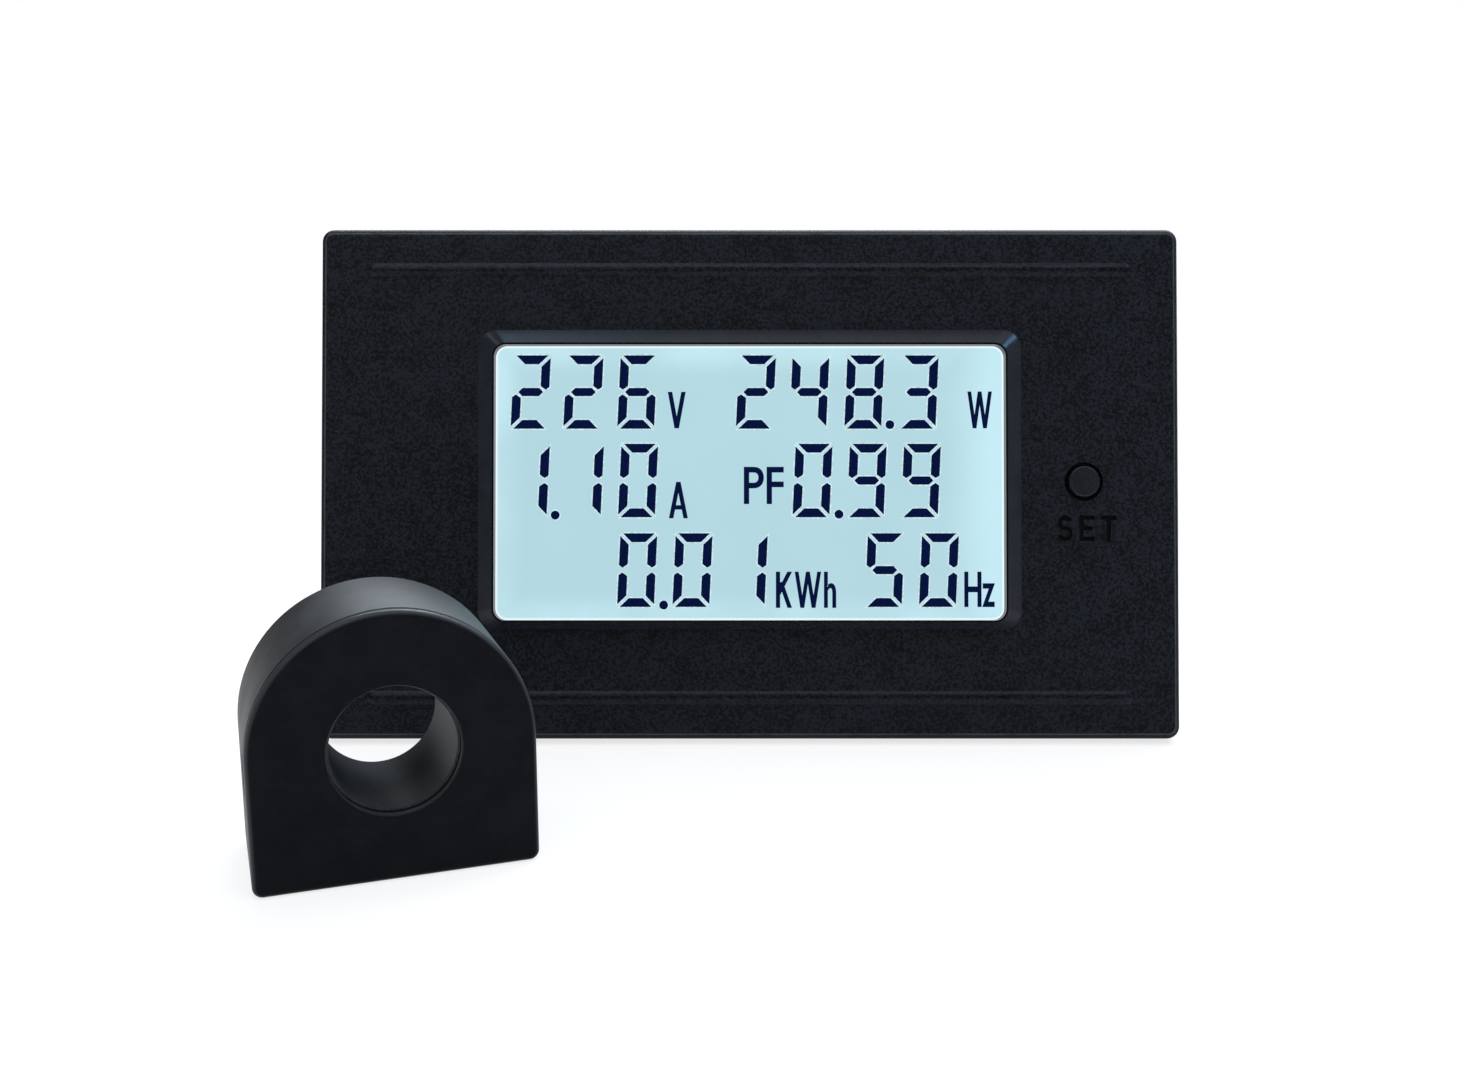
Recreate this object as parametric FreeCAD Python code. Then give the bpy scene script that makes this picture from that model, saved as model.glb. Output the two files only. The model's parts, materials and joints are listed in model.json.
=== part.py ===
import FreeCAD, Part
import math
import os

# Front bezel, in the meter's own upright frame: X right, Y back from the panel's face, Z up
panel_width = 84.6
panel_height = 50.3
flange_thick = 3.0
flange_corner = 1.2
flange_round = 0.85
face_skin = 1.2
rib_end_inset = 4.7
rib_inset = 4.1
rib_width = 1.4
rib_rise = 0.3

# Window and the raised frame round it
window_side_margin = 17.31
window_end_margin = 11.67
window_centre_z = 0.02
window_corner = 1.15
frame_side_band = 1.7
frame_top_band = 1.59
frame_bottom_band = 0.87
frame_corner = 1.8
frame_rise = 1.2
frame_lip = 0.2

# Rear case and the skirt of the bezel inside it
case_side_inset = 4.3
case_end_inset = 4.65
case_depth = 21.4
case_wall = 1.6
case_corner = 1.5
case_inner_corner = 1.0
case_round = 0.5
skirt_depth = 6.0
skirt_wall = 1.3
skirt_clear = 0.15
hook_width = 6.0
hook_rise = 0.5
hook_near = 3.4
hook_length = 1.6
hook_offset = 20.0
hook_clear = 0.3

# Set button and the tactile switch behind it
button_inset = 2.1
button_z = 0.16
button_radius = 1.525
button_gap = 0.375
button_proud = 0.4
button_edge_round = 0.2
button_travel = 0.4
button_flange_radius = 2.2
button_flange_thick = 0.7
button_stem_radius = 1.0
button_play = 0.05
guide_clear = 0.06
guide_wall = 0.7
guide_length = 1.5
switch_width = 3.0
switch_length = 6.0
switch_height = 2.5
plunger_width = 1.2
plunger_length = 2.0
plunger_depth = 0.9
plunger_clear = 0.06
lead_thick = 0.25

# Word pressed into the face under the button
letter_height = 2.5
letter_width = 1.5
letter_gap = 0.63
letter_stroke = 0.42
letter_depth = 0.25
letter_drop = 4.59
letter_shift = 0.27

# Display stack
glass_gap = 0.22
glass_thick = 1.1
glass_ledge = 2.2
glass_play = 0.05
polarizer_thick = 0.2
polarizer_inset = 0.1
guide_inset = 0.5
guide_thick = 2.2
sheet_thick = 0.2
tray_clear = 0.1
tray_wall = 1.0
tray_lamp_wall = 2.3
tray_floor = 0.8
lamp_length = 3.0
lamp_depth = 1.2
lamp_height = 1.8
lamp_count = 3
lamp_pitch = 8.4
display_pin_count = 24
display_pin_margin = 4.3
display_pin_width = 0.5
display_pin_clip = 1.2

# Boards and their screws
board_thick = 1.6
board_gap = 4.45
board_clear = 0.2
board_corner = 1.0
power_board_clear = 0.6
display_boss_inset = 3.4
power_boss_inset = 3.1
boss_radius = 2.2
screw_shank_radius = 1.0
screw_length = 5.2
screw_head_radius = 1.8
screw_head_height = 1.3
screw_clear = 0.02
screw_end_clear = 0.3
screw_hole_clear = 0.12
screw_slot = 0.45
screw_slot_length = 2.2
screw_slot_depth = 0.5
header_inset = 4.1
header_pin_count = 6
header_pitch = 2.54
header_width = 2.5
pin_side = 0.64
pin_tail = 0.7
pin_clear = 0.08

# Terminal block in the rear of the case
pole_count = 4
pole_pitch = 7.62
pole_length = 12.3
barrier_thick = 1.2
block_inset = 5.0
block_recess = 0.6
block_floor = 0.3
block_clear = 0.15
contact_thick = 0.8
contact_side_clear = 0.1
contact_tail = 1.0
clamp_side = 5.8
clamp_thick = 0.8
clamp_inset = 0.4
clamp_travel = 2.5
thread_radius = 1.5
thread_clear = 0.05
thread_spare = 0.3
terminal_head_radius = 2.7
terminal_head_height = 1.8
terminal_head_round = 0.3
terminal_slot = 0.7
terminal_slot_length = 3.5
terminal_slot_depth = 0.8
wire_way_height = 8.0
wire_way_clear = 1.2

# Spring latches on the two short sides
latch_pivot_inset = 1.3
latch_pivot_back = 4.0
latch_half_height = 6.2
latch_play = 0.2
latch_knuckle_radius = 1.3
latch_pin_radius = 0.6
latch_pin_length = 1.1
latch_pin_clear = 0.05
latch_thick = 1.0
latch_tip_gap = 1.6
latch_tip_y = 3.2
latch_nib = 0.7
latch_nib_flat = 0.6
latch_nib_length = 2.6
latch_well_reach = 6.4
latch_well_behind = 0.7
latch_well_wall = 1.2
latch_end_wall = 1.8
latch_travel_deg = 12.0

# Chips behind the display board, each with the place of its middle
controller_at = (-11.0, 2.0)
controller_side = 10.0
controller_height = 1.4
controller_lead_count = 11
controller_lead_pitch = 0.8
metering_at = (12.0, 6.0)
metering_length = 9.9
metering_lead_count = 7
memory_at = (12.0, -7.0)
memory_length = 4.9
memory_lead_count = 4
small_chip_width = 3.9
small_chip_height = 1.5
small_lead_pitch = 1.27
chip_lift = 0.1
chip_lead_reach = 1.0
chip_lead_width = 0.35
crystal_at = (-11.0, -11.0)
crystal_length = 11.0
crystal_width = 4.6
crystal_height = 3.4

# Parts behind the power board, on both sides of the terminal well and above it
part_gap = 1.8
tall_clear = 0.9
film_length = 13.0
film_width = 5.0
film_chamfer = 0.4
can_z = 5.0
can_radius = 4.0
can_round = 0.5
can_groove = 0.3
can_groove_depth = 0.15
disc_thick = 3.6
disc_round = 0.8
fuse_radius = 1.5
fuse_length = 7.2
burden_radius = 1.2
burden_length = 6.4
bridge_length = 4.7
bridge_width = 4.0
bridge_height = 2.5
regulator_length = 4.5
regulator_width = 2.5
regulator_height = 1.5
lead_radius = 0.3
lead_foot_radius = 0.26
lead_stand = 0.6
lead_reach = 1.4

# Current sensor that stands in front of the meter
sensor_width = 22.0
sensor_depth = 12.0
sensor_axis_drop = 0.5
sensor_base_corner = 0.8
sensor_ring = 6.1
sensor_sleeve_wall = 0.8
sensor_wall = 1.3
sensor_back = 1.4
cover_thick = 1.0
cover_round = 0.6
cover_bore_step = 0.22
cover_bore_round = 0.3
cover_lip = 0.8
cover_lip_wall = 0.9
cover_lip_clear = 0.08
seam_chamfer = 0.15
winding_build = 0.45
winding_gap = 0.35
winding_lip_gap = 0.07
winding_end_gap = 0.7
tab_height = 3.4
tab_bottom = 6.6
tab_depth = 2.2
tab_start = 3.6
tab_clear = 0.1
tab_thick = 0.7
tab_catch = 0.8
grommet_inset = 4.4
grommet_z = 3.3
grommet_hole_radius = 1.5
grommet_flange = 0.6
grommet_flange_thick = 0.6
grommet_flange_round = 0.2
grommet_bite = 0.3
lead_hole_radius = 0.5
lead_hole_offset = 0.7

# Where the sensor stands: its front's middle from the meter's contact edge, and its turn
sensor_x = -27.38
sensor_forward = 33.9
sensor_turn = 20.15

# Front of the meter, worked out from the sizes above
window_width = panel_width - 2 * window_side_margin
window_height = panel_height - 2 * window_end_margin
case_width = panel_width - 2 * case_side_inset
case_height = panel_height - 2 * case_end_inset
face_y = -flange_thick
skin_back = face_y + face_skin
frame_width = window_width + 2 * frame_side_band
frame_height = window_height + frame_top_band + frame_bottom_band
frame_centre_z = window_centre_z + (frame_top_band - frame_bottom_band) / 2
case_inner_width = case_width - 2 * case_wall
case_inner_height = case_height - 2 * case_wall
case_floor_y = case_depth - case_wall
skirt_width = case_inner_width - 2 * skirt_clear
skirt_height = case_inner_height - 2 * skirt_clear
skirt_inner_width = skirt_width - 2 * skirt_wall
skirt_inner_height = skirt_height - 2 * skirt_wall
hook_far = hook_near + hook_length

# Display stack, from the ledge that bears on the back of the face
glass_width = window_width - 2 * glass_gap
glass_height = window_height - 2 * glass_gap
glass_top = window_centre_z + glass_height / 2 + glass_ledge
guide_width = glass_width - 2 * guide_inset
guide_height = glass_height - 2 * guide_inset
display_pin_pitch = (glass_width - 2 * display_pin_margin) / (display_pin_count - 1)
rear_glass_y = skin_back + glass_play
front_glass_y = rear_glass_y - glass_thick
front_polarizer_y = front_glass_y - polarizer_thick
rear_polarizer_y = rear_glass_y + glass_thick
diffuser_y = rear_polarizer_y + polarizer_thick
light_guide_y = diffuser_y + sheet_thick
reflector_y = light_guide_y + guide_thick
tray_floor_y = reflector_y + sheet_thick
tray_half_x = guide_width / 2 + tray_clear
tray_half_z = guide_height / 2 + tray_clear
lamp_y = light_guide_y + (guide_thick - lamp_height) / 2
lamp_zs = [window_centre_z + (i - (lamp_count - 1) / 2) * lamp_pitch for i in range(lamp_count)]

# Boards
display_board_y = tray_floor_y + tray_floor
display_board_back = display_board_y + board_thick
power_board_front = display_board_back + board_gap
power_board_back = power_board_front + board_thick
latch_well_depth = latch_pivot_inset + latch_knuckle_radius + latch_play
power_board_width = case_width - 2 * (latch_well_depth + latch_well_wall + 2 * board_clear)
power_board_height = case_inner_height - 2 * power_board_clear
display_boss_x = skirt_inner_width / 2 - display_boss_inset
display_boss_z = skirt_inner_height / 2 - display_boss_inset
power_boss_x = power_board_width / 2 - power_boss_inset
power_boss_z = power_board_height / 2 - power_boss_inset
header_x = header_inset - power_board_width / 2
display_bosses = [(sx * display_boss_x, sz * display_boss_z) for sx in (-1, 1) for sz in (-1, 1)]
power_bosses = [(sx * power_boss_x, sz * power_boss_z) for sx in (-1, 1) for sz in (-1, 1)]
header_zs = [(i - (header_pin_count - 1) / 2) * header_pitch for i in range(header_pin_count)]

# Button and switch
button_x = skirt_inner_width / 2 - button_inset
switch_y = display_board_y - switch_height
plunger_y = switch_y - button_travel - 2 * button_play
button_flange_y = skin_back + button_play
button_stem_y = button_flange_y + button_flange_thick

# Terminal block
block_half_width = (pole_count * pole_pitch + barrier_thick) / 2
block_bottom = block_inset - case_height / 2
block_top = block_bottom + barrier_thick + pole_length
block_back = case_depth - block_recess
thread_end_y = power_board_back + block_floor + block_clear
contact_y = thread_end_y + clamp_travel + thread_spare
contact_low_z = block_bottom + barrier_thick + contact_side_clear
tail_z = block_top - contact_tail
clamp_y = contact_y + contact_thick
clamp_z = block_bottom + barrier_thick + clamp_inset + clamp_side / 2
head_y = clamp_y + clamp_thick
well_half_width = block_half_width + block_clear
wire_way_top = block_top + wire_way_height
wire_way_floor = power_board_back + wire_way_clear + case_wall
pole_xs = [(i - (pole_count - 1) / 2) * pole_pitch for i in range(pole_count)]

# Latches
latch_pivot_x = case_width / 2 - latch_pivot_inset
latch_pivot_y = case_depth - latch_pivot_back
latch_well_front = latch_pivot_y - latch_well_reach
latch_well_back = latch_pivot_y + latch_knuckle_radius + latch_well_behind
latch_pin_reach = latch_half_height + latch_pin_length
latch_swing = math.radians(latch_travel_deg)
latch_nose_x = case_width / 2 + latch_tip_gap + latch_thick + latch_nib
latch_nose_way = (latch_nose_x - latch_pivot_x) * math.sin(latch_swing)
latch_nose_way += (latch_pivot_y - latch_tip_y) * math.cos(latch_swing)
latch_window_front = latch_pivot_y - latch_nose_way - 2 * latch_play

# Bays beside the terminal well, and how tall a part there may stand
bay_x = well_half_width + case_wall + part_gap
tall_height = case_floor_y - power_board_back - tall_clear
can_x = bay_x + can_radius
bridge_z = can_z - can_radius - part_gap - bridge_width / 2
regulator_z = bridge_z - bridge_width / 2 - part_gap - regulator_width / 2
fuse_z = -film_length / 2 - part_gap - fuse_radius
disc_radius = (tall_height - lead_stand) / 2
disc_z = film_length / 2 + part_gap + disc_thick / 2

# Sensor
sensor_axis_height = sensor_width / 2 - sensor_axis_drop
sensor_bore_radius = sensor_width / 2 - sensor_ring
sleeve_radius = sensor_bore_radius + sensor_sleeve_wall
cover_bore_radius = sensor_bore_radius + cover_bore_step
shell_floor_y = sensor_depth - sensor_back
core_inner = sleeve_radius + winding_gap + winding_build
lip_half_width = sensor_width / 2 - sensor_wall - cover_lip_clear
core_outer = lip_half_width - cover_lip_wall - winding_lip_gap - winding_build
core_front = cover_thick + cover_lip + winding_end_gap + winding_build
core_back = shell_floor_y - winding_end_gap - winding_build
grommet_x = sensor_width / 2 - grommet_inset
grommet_end_y = shell_floor_y - grommet_bite

# The meter leans back until its bezel's lower edge and its case's rounded lower edge both stand on the table
edge_run = case_depth - case_round
edge_drop = case_end_inset + case_round
lean_angle = math.atan2(edge_drop, edge_run) - math.asin(case_round / math.hypot(edge_run, edge_drop))

# How far solids reach into each other where they are joined, and how far a cut reaches past a face
touch = 0.01
over = 1.0
X_AXIS = FreeCAD.Vector(1, 0, 0)
Y_AXIS = FreeCAD.Vector(0, 1, 0)
Z_AXIS = FreeCAD.Vector(0, 0, 1)


def vec(x, y, z):
    return FreeCAD.Vector(x, y, z)


def box(x0, x1, y0, y1, z0, z1):
    return Part.makeBox(x1 - x0, y1 - y0, z1 - z0, vec(x0, y0, z0))


def block(cx, cz, width, height, y0, y1):
    return box(cx - width / 2, cx + width / 2, y0, y1, cz - height / 2, cz + height / 2)


def rod(x, z, radius, y0, y1):
    return Part.makeCylinder(radius, y1 - y0, vec(x, y0, z), Y_AXIS)


def upright_rod(x, y, radius, z0, z1):
    return Part.makeCylinder(radius, z1 - z0, vec(x, y, z0), Z_AXIS)


def cross_rod(x0, x1, y, z, radius):
    return Part.makeCylinder(radius, x1 - x0, vec(x0, y, z), X_AXIS)


def round_rectangle(cx, cz, width, height, radius, y):
    a, b = width / 2, height / 2
    s = radius * (1 - math.sqrt(0.5))
    edges = []
    for sx, sz in ((1, 1), (-1, 1), (-1, -1), (1, -1)):
        side = vec(cx + sx * a, y, cz + sz * (b - radius))
        middle = vec(cx + sx * (a - s), y, cz + sz * (b - s))
        end = vec(cx + sx * (a - radius), y, cz + sz * b)
        points = (side, middle, end) if sx * sz > 0 else (end, middle, side)
        edges.append(points)
    loop = []
    for i, points in enumerate(edges):
        loop.append(Part.Arc(*points).toShape())
        loop.append(Part.LineSegment(points[2], edges[(i + 1) % 4][0]).toShape())
    return Part.Wire(loop)


def round_plate(cx, cz, width, height, radius, y0, y1):
    outline = round_rectangle(cx, cz, width, height, radius, y0)
    return Part.Face(outline).extrude(vec(0, y1 - y0, 0))


def edges_at_depth(shape, y):
    return [e for e in shape.Edges if all(abs(v.Point.y - y) < 1e-6 for v in e.Vertexes)]


def joined(shapes):
    result = shapes[0].multiFuse(shapes[1:])
    return result.removeSplitter()


def group(shapes):
    return Part.makeCompound(shapes)


# Front bezel
def bezel_plate():
    plate = round_plate(0, 0, panel_width, panel_height, flange_corner, face_y, 0)
    return plate.makeFillet(flange_round, edges_at_depth(plate, face_y))


def display_frame():
    foot = round_rectangle(0, frame_centre_z, frame_width, frame_height, frame_corner, face_y)
    lip_width = window_width + 2 * frame_lip
    lip_height = window_height + 2 * frame_lip
    lip = round_rectangle(
        0, window_centre_z, lip_width, lip_height, window_corner + frame_lip, face_y - frame_rise
    )
    return Part.makeLoft([foot, lip], True, True)


def face_rib(z):
    radius = (rib_width ** 2 / 4 + rib_rise ** 2) / (2 * rib_rise)
    y = face_y - rib_rise + radius
    end = panel_width / 2 - rib_end_inset - rib_width / 2
    bar = cross_rod(-end, end, y, z, radius)
    tips = [Part.makeSphere(radius, vec(side * end, y, z)) for side in (-1, 1)]
    keep = block(0, z, panel_width, 2 * rib_width, face_y - 2 * rib_rise, skin_back - touch)
    return joined([bar] + tips).common(keep)


def letter_bar(x0, x1, z0, z1):
    return box(x0, x1, face_y - touch, face_y + letter_depth, z0, z1)


def letter_s(x, z):
    ring = (letter_height - letter_stroke) / 4
    reach = (letter_width - letter_stroke) / 2
    y = face_y - touch

    def spot(side, turn):
        angle = math.radians(turn)
        return vec(x + reach * math.cos(angle), y, z + side * ring + ring * math.sin(angle))

    bends = []
    for side, turns in ((1, (40, 90, 140, 180, 220, 270)), (-1, (90, 40, 0, -40, -90, -140))):
        for a, b in zip(turns, turns[1:]):
            ends = [spot(side, a), spot(side, (a + b) / 2), spot(side, b)]
            bends.append(Part.Arc(*ends).toShape())
    strokes = []
    for bend in bends:
        line = Part.Wire([bend])
        face = Part.Face(line.makeOffset2D(letter_stroke / 2, 0, False, False, False))
        strokes.append(face.extrude(vec(0, letter_depth + touch, 0)))
    return joined(strokes)


def letter_e(x, z):
    left, right = x - letter_width / 2, x + letter_width / 2
    low, high = z - letter_height / 2, z + letter_height / 2
    half = letter_stroke / 2
    return joined([
        letter_bar(left, left + letter_stroke, low, high),
        letter_bar(left, right, high - letter_stroke, high),
        letter_bar(left, right - half, z - half, z + half),
        letter_bar(left, right, low, low + letter_stroke),
    ])


def letter_t(x, z):
    half = letter_stroke / 2
    low, high = z - letter_height / 2, z + letter_height / 2
    return joined([
        letter_bar(x - letter_width / 2, x + letter_width / 2, high - letter_stroke, high),
        letter_bar(x - half, x + half, low, high),
    ])


def pressed_word():
    step = letter_width + letter_gap
    x, z = button_x + letter_shift, button_z - letter_drop
    return [letter_s(x - step, z), letter_e(x, z), letter_t(x + step, z)]


def bezel_skirt():
    outer = round_plate(0, 0, skirt_width, skirt_height, case_inner_corner, -touch, skirt_depth)
    inner = round_plate(
        0, 0, skirt_inner_width, skirt_inner_height, case_inner_corner, -over, skirt_depth + over
    )
    return outer.cut(inner)


def skirt_hooks():
    half = skirt_height / 2
    hooks = []
    for sx in (-1, 1):
        for sz in (-1, 1):
            profile = Part.makePolygon([
                vec(0, hook_near, sz * (half - touch)),
                vec(0, hook_near, sz * (half + hook_rise)),
                vec(0, hook_far, sz * (half - touch)),
                vec(0, hook_near, sz * (half - touch)),
            ])
            hook = Part.Face(profile).extrude(vec(hook_width, 0, 0))
            hook.translate(vec(sx * hook_offset - hook_width / 2, 0, 0))
            hooks.append(hook)
    return hooks


def bezel_bosses():
    posts = [rod(x, z, boss_radius, skin_back - touch, display_board_y) for x, z in display_bosses]
    radius = button_flange_radius + guide_clear + guide_wall
    posts.append(rod(button_x, button_z, radius, skin_back - touch, skin_back + guide_length))
    return posts


def front_bezel():
    hollow = round_plate(
        0, 0, skirt_inner_width, skirt_inner_height, case_inner_corner, skin_back, over
    )
    ribs = [face_rib(side * (panel_height / 2 - rib_inset)) for side in (-1, 1)]
    shell = joined([bezel_plate(), display_frame()] + ribs)
    shell = shell.cut(hollow)
    shell = joined([shell, bezel_skirt()] + skirt_hooks() + bezel_bosses())
    window = round_plate(
        0, window_centre_z, window_width, window_height, window_corner, face_y - 2 * frame_rise, over
    )
    cuts = [window]
    cuts.append(rod(button_x, button_z, button_radius + button_gap, face_y - over, skin_back + over))
    bore = button_flange_radius + guide_clear
    cuts.append(rod(button_x, button_z, bore, skin_back, skin_back + guide_length + over))
    deep = display_board_back - screw_length - screw_end_clear
    for x, z in display_bosses:
        cuts.append(rod(x, z, screw_shank_radius + screw_clear, deep, display_board_y + over))
    return shell.cut(cuts + pressed_word())


# Rear case
def case_shell():
    outer = round_plate(0, 0, case_width, case_height, case_corner, 0, case_depth)
    outer = outer.makeFillet(case_round, edges_at_depth(outer, case_depth))
    inner = round_plate(0, 0, case_inner_width, case_inner_height, case_inner_corner, -over, case_floor_y)
    return outer.cut(inner)


def terminal_well(wall, y0):
    return box(
        -well_half_width - wall, well_half_width + wall, y0, case_depth,
        block_bottom - block_clear - wall, wire_way_top + wall,
    )


def latch_well(side):
    x0, x1 = sorted((side * (case_width / 2 - latch_well_depth), side * case_width / 2 + side))
    half = latch_half_height + latch_play
    return box(x0, x1, latch_well_front, latch_well_back, -half, half)


def latch_window(side):
    x0, x1 = sorted((side * (case_width / 2 - case_wall), side * case_width / 2 + side))
    half = latch_half_height + latch_play
    return box(x0, x1, latch_window_front, latch_well_front + touch, -half, half)


def latch_housing(side):
    x0, x1 = sorted((side * (case_width / 2 - latch_well_depth - latch_well_wall), side * case_width / 2))
    half = latch_half_height + latch_play + latch_end_wall
    return box(x0, x1, latch_well_front - latch_well_wall, latch_well_back + latch_well_wall, -half, half)


def latch_pin_hole(side):
    reach = latch_pin_reach + latch_play
    radius = latch_pin_radius + latch_pin_clear
    return upright_rod(side * latch_pivot_x, latch_pivot_y, radius, -reach, reach)


def hook_slot(sx, sz):
    wall_z = sz * (case_height - case_wall) / 2
    return block(
        sx * hook_offset, wall_z, hook_width + 2 * hook_clear, 2 * case_wall,
        hook_near - hook_clear, hook_far + hook_clear,
    )


def block_opening():
    return box(
        -well_half_width, well_half_width, wire_way_floor - 2 * case_wall, wire_way_floor + over,
        block_bottom - block_clear, block_top + block_clear,
    )


def case_screw_post(x, z):
    return rod(x, z, boss_radius, power_board_back, case_floor_y + touch)


def case_screw_hole(x, z):
    end = power_board_front + screw_length + screw_end_clear
    return rod(x, z, screw_shank_radius + screw_clear, power_board_back - over, end)


def rear_case():
    solids = [case_shell(), terminal_well(case_wall, wire_way_floor - case_wall)]
    solids += [latch_housing(side) for side in (-1, 1)]
    solids += [case_screw_post(x, z) for x, z in power_bosses]
    cuts = [terminal_well(0, wire_way_floor), block_opening()]
    cuts += [latch_well(side) for side in (-1, 1)]
    cuts += [latch_window(side) for side in (-1, 1)]
    cuts += [latch_pin_hole(side) for side in (-1, 1)]
    cuts += [hook_slot(sx, sz) for sx in (-1, 1) for sz in (-1, 1)]
    cuts += [case_screw_hole(x, z) for x, z in power_bosses]
    return joined(solids).cut(cuts)


# Spring latches: side is -1 for the left one and 1 for the right one
def side_latch(side):
    wall = case_width / 2
    tip = wall + latch_tip_gap
    start = latch_pivot_y - latch_knuckle_radius
    nib_y = latch_tip_y + latch_nib_length
    arm_x = wall + latch_thick + latch_tip_gap * (start - nib_y) / (start - latch_tip_y)
    outline = [
        (wall, start), (tip, latch_tip_y), (latch_nose_x, latch_tip_y),
        (latch_nose_x, latch_tip_y + latch_nib_flat),
        (arm_x, nib_y), (wall + latch_thick, start),
        (latch_pivot_x + latch_knuckle_radius, latch_pivot_y), (latch_pivot_x, latch_pivot_y),
        (latch_pivot_x, start),
    ]
    points = [vec(side * x, y, -latch_half_height) for x, y in outline]
    arm = Part.Face(Part.makePolygon(points + points[:1])).extrude(vec(0, 0, 2 * latch_half_height))
    x = side * latch_pivot_x
    knuckle = upright_rod(x, latch_pivot_y, latch_knuckle_radius, -latch_half_height, latch_half_height)
    pin = upright_rod(x, latch_pivot_y, latch_pin_radius, -latch_pin_reach, latch_pin_reach)
    return joined([arm, knuckle, pin])


# Set button and its switch
def set_button():
    cap = rod(button_x, button_z, button_radius, face_y - button_proud, button_flange_y + touch)
    cap = cap.makeFillet(button_edge_round, edges_at_depth(cap, face_y - button_proud))
    flange = rod(button_x, button_z, button_flange_radius, button_flange_y, button_stem_y)
    stem = rod(button_x, button_z, button_stem_radius, button_stem_y - touch, plunger_y)
    return joined([cap, flange, stem])


def switch_plunger():
    return block(button_x, button_z, plunger_width, plunger_length, plunger_y, switch_y + plunger_depth)


def switch_body():
    body = block(button_x, button_z, switch_width, switch_length, switch_y, display_board_y)
    pocket = block(
        button_x, button_z, plunger_width + 2 * plunger_clear, plunger_length + 2 * plunger_clear,
        switch_y - over, switch_y + plunger_depth + button_travel + plunger_clear,
    )
    return body.cut(pocket)


def switch_legs():
    legs = []
    for side in (-1, 1):
        z = button_z + side * (switch_length + lead_thick) / 2
        top = display_board_y - switch_height / 2
        legs.append(block(button_x, z, switch_width / 2, lead_thick, top, display_board_y))
    return group(legs)


# Display stack
def display_sheet(width, height, y, thick):
    return block(0, window_centre_z, width, height, y, y + thick)


def window_plate(inset, y, thick):
    width, height = window_width - 2 * inset, window_height - 2 * inset
    return round_plate(0, window_centre_z, width, height, window_corner - inset, y, y + thick)


def front_polarizer():
    return window_plate(glass_gap + polarizer_inset, front_polarizer_y, polarizer_thick)


def front_glass():
    return window_plate(glass_gap, front_glass_y, glass_thick)


def rear_glass():
    low = window_centre_z - glass_height / 2
    return box(-glass_width / 2, glass_width / 2, rear_glass_y, rear_polarizer_y, low, glass_top)


def rear_polarizer():
    return display_sheet(guide_width, guide_height, rear_polarizer_y, polarizer_thick)


def diffuser_sheet():
    return display_sheet(guide_width, guide_height, diffuser_y, sheet_thick)


def light_guide():
    return display_sheet(guide_width, guide_height, light_guide_y, guide_thick)


def reflector_sheet():
    return display_sheet(guide_width, guide_height, reflector_y, sheet_thick)


def backlight_lamps():
    half = lamp_length / 2
    return group([
        box(tray_half_x, tray_half_x + lamp_depth, lamp_y, lamp_y + lamp_height, z - half, z + half)
        for z in lamp_zs
    ])


def backlight_tray():
    low = window_centre_z - tray_half_z
    high = window_centre_z + tray_half_z
    tray = box(
        -tray_half_x - tray_wall, tray_half_x + tray_lamp_wall, rear_polarizer_y, display_board_y,
        low - tray_wall, high + tray_wall,
    )
    cuts = [box(-tray_half_x, tray_half_x, rear_polarizer_y - over, tray_floor_y, low, high)]
    end = tray_half_x + lamp_depth + tray_clear
    half = lamp_length / 2 + tray_clear
    for z in lamp_zs:
        cuts.append(box(tray_half_x - over, end, lamp_y - tray_clear, tray_floor_y, z - half, z + half))
    return tray.cut(cuts)


def display_pins():
    pins = []
    for i in range(display_pin_count):
        x = (i - (display_pin_count - 1) / 2) * display_pin_pitch
        left, right = x - display_pin_width / 2, x + display_pin_width / 2
        leg = box(left, right, rear_glass_y, display_board_y, glass_top, glass_top + lead_thick)
        clip = box(
            left, right, rear_polarizer_y, rear_polarizer_y + lead_thick,
            glass_top - display_pin_clip, glass_top + lead_thick,
        )
        pins.append(joined([leg, clip]))
    return group(pins)


# Boards
def screw_holes(places, y0, y1):
    radius = screw_shank_radius + screw_hole_clear
    return [rod(x, z, radius, y0 - over, y1 + over) for x, z in places]


def header_holes(y0, y1):
    side = pin_side + 2 * pin_clear
    return [block(header_x, z, side, side, y0 - over, y1 + over) for z in header_zs]


def display_board():
    width = skirt_inner_width - 2 * board_clear
    height = skirt_inner_height - 2 * board_clear
    board = round_plate(0, 0, width, height, board_corner, display_board_y, display_board_back)
    cuts = screw_holes(display_bosses, display_board_y, display_board_back)
    return board.cut(cuts + header_holes(display_board_y, display_board_back))


def power_board():
    board = round_plate(
        0, 0, power_board_width, power_board_height, board_corner, power_board_front, power_board_back
    )
    cuts = screw_holes(power_bosses, power_board_front, power_board_back)
    cuts += header_holes(power_board_front, power_board_back)
    side = contact_tail + 2 * contact_side_clear
    for x in pole_xs:
        cuts.append(block(x, tail_z, side, side, power_board_front - over, power_board_back + over))
    return board.cut(cuts)


def cross_slot(x, z, length, width, y0, y1):
    return [block(x, z, length, width, y0, y1), block(x, z, width, length, y0, y1)]


def board_screw(x, z, y, way):
    tip = y + way * screw_length
    shank = rod(x, z, screw_shank_radius, min(y, tip), max(y, tip))
    top = y - way * screw_head_height
    head = rod(x, z, screw_head_radius, min(y, top), max(y, top))
    floor = top + way * screw_slot_depth
    y0, y1 = sorted((top - way, floor))
    return joined([shank, head]).cut(cross_slot(x, z, screw_slot_length, screw_slot, y0, y1))


def display_board_screws():
    return group([board_screw(x, z, display_board_back, -1) for x, z in display_bosses])


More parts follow.
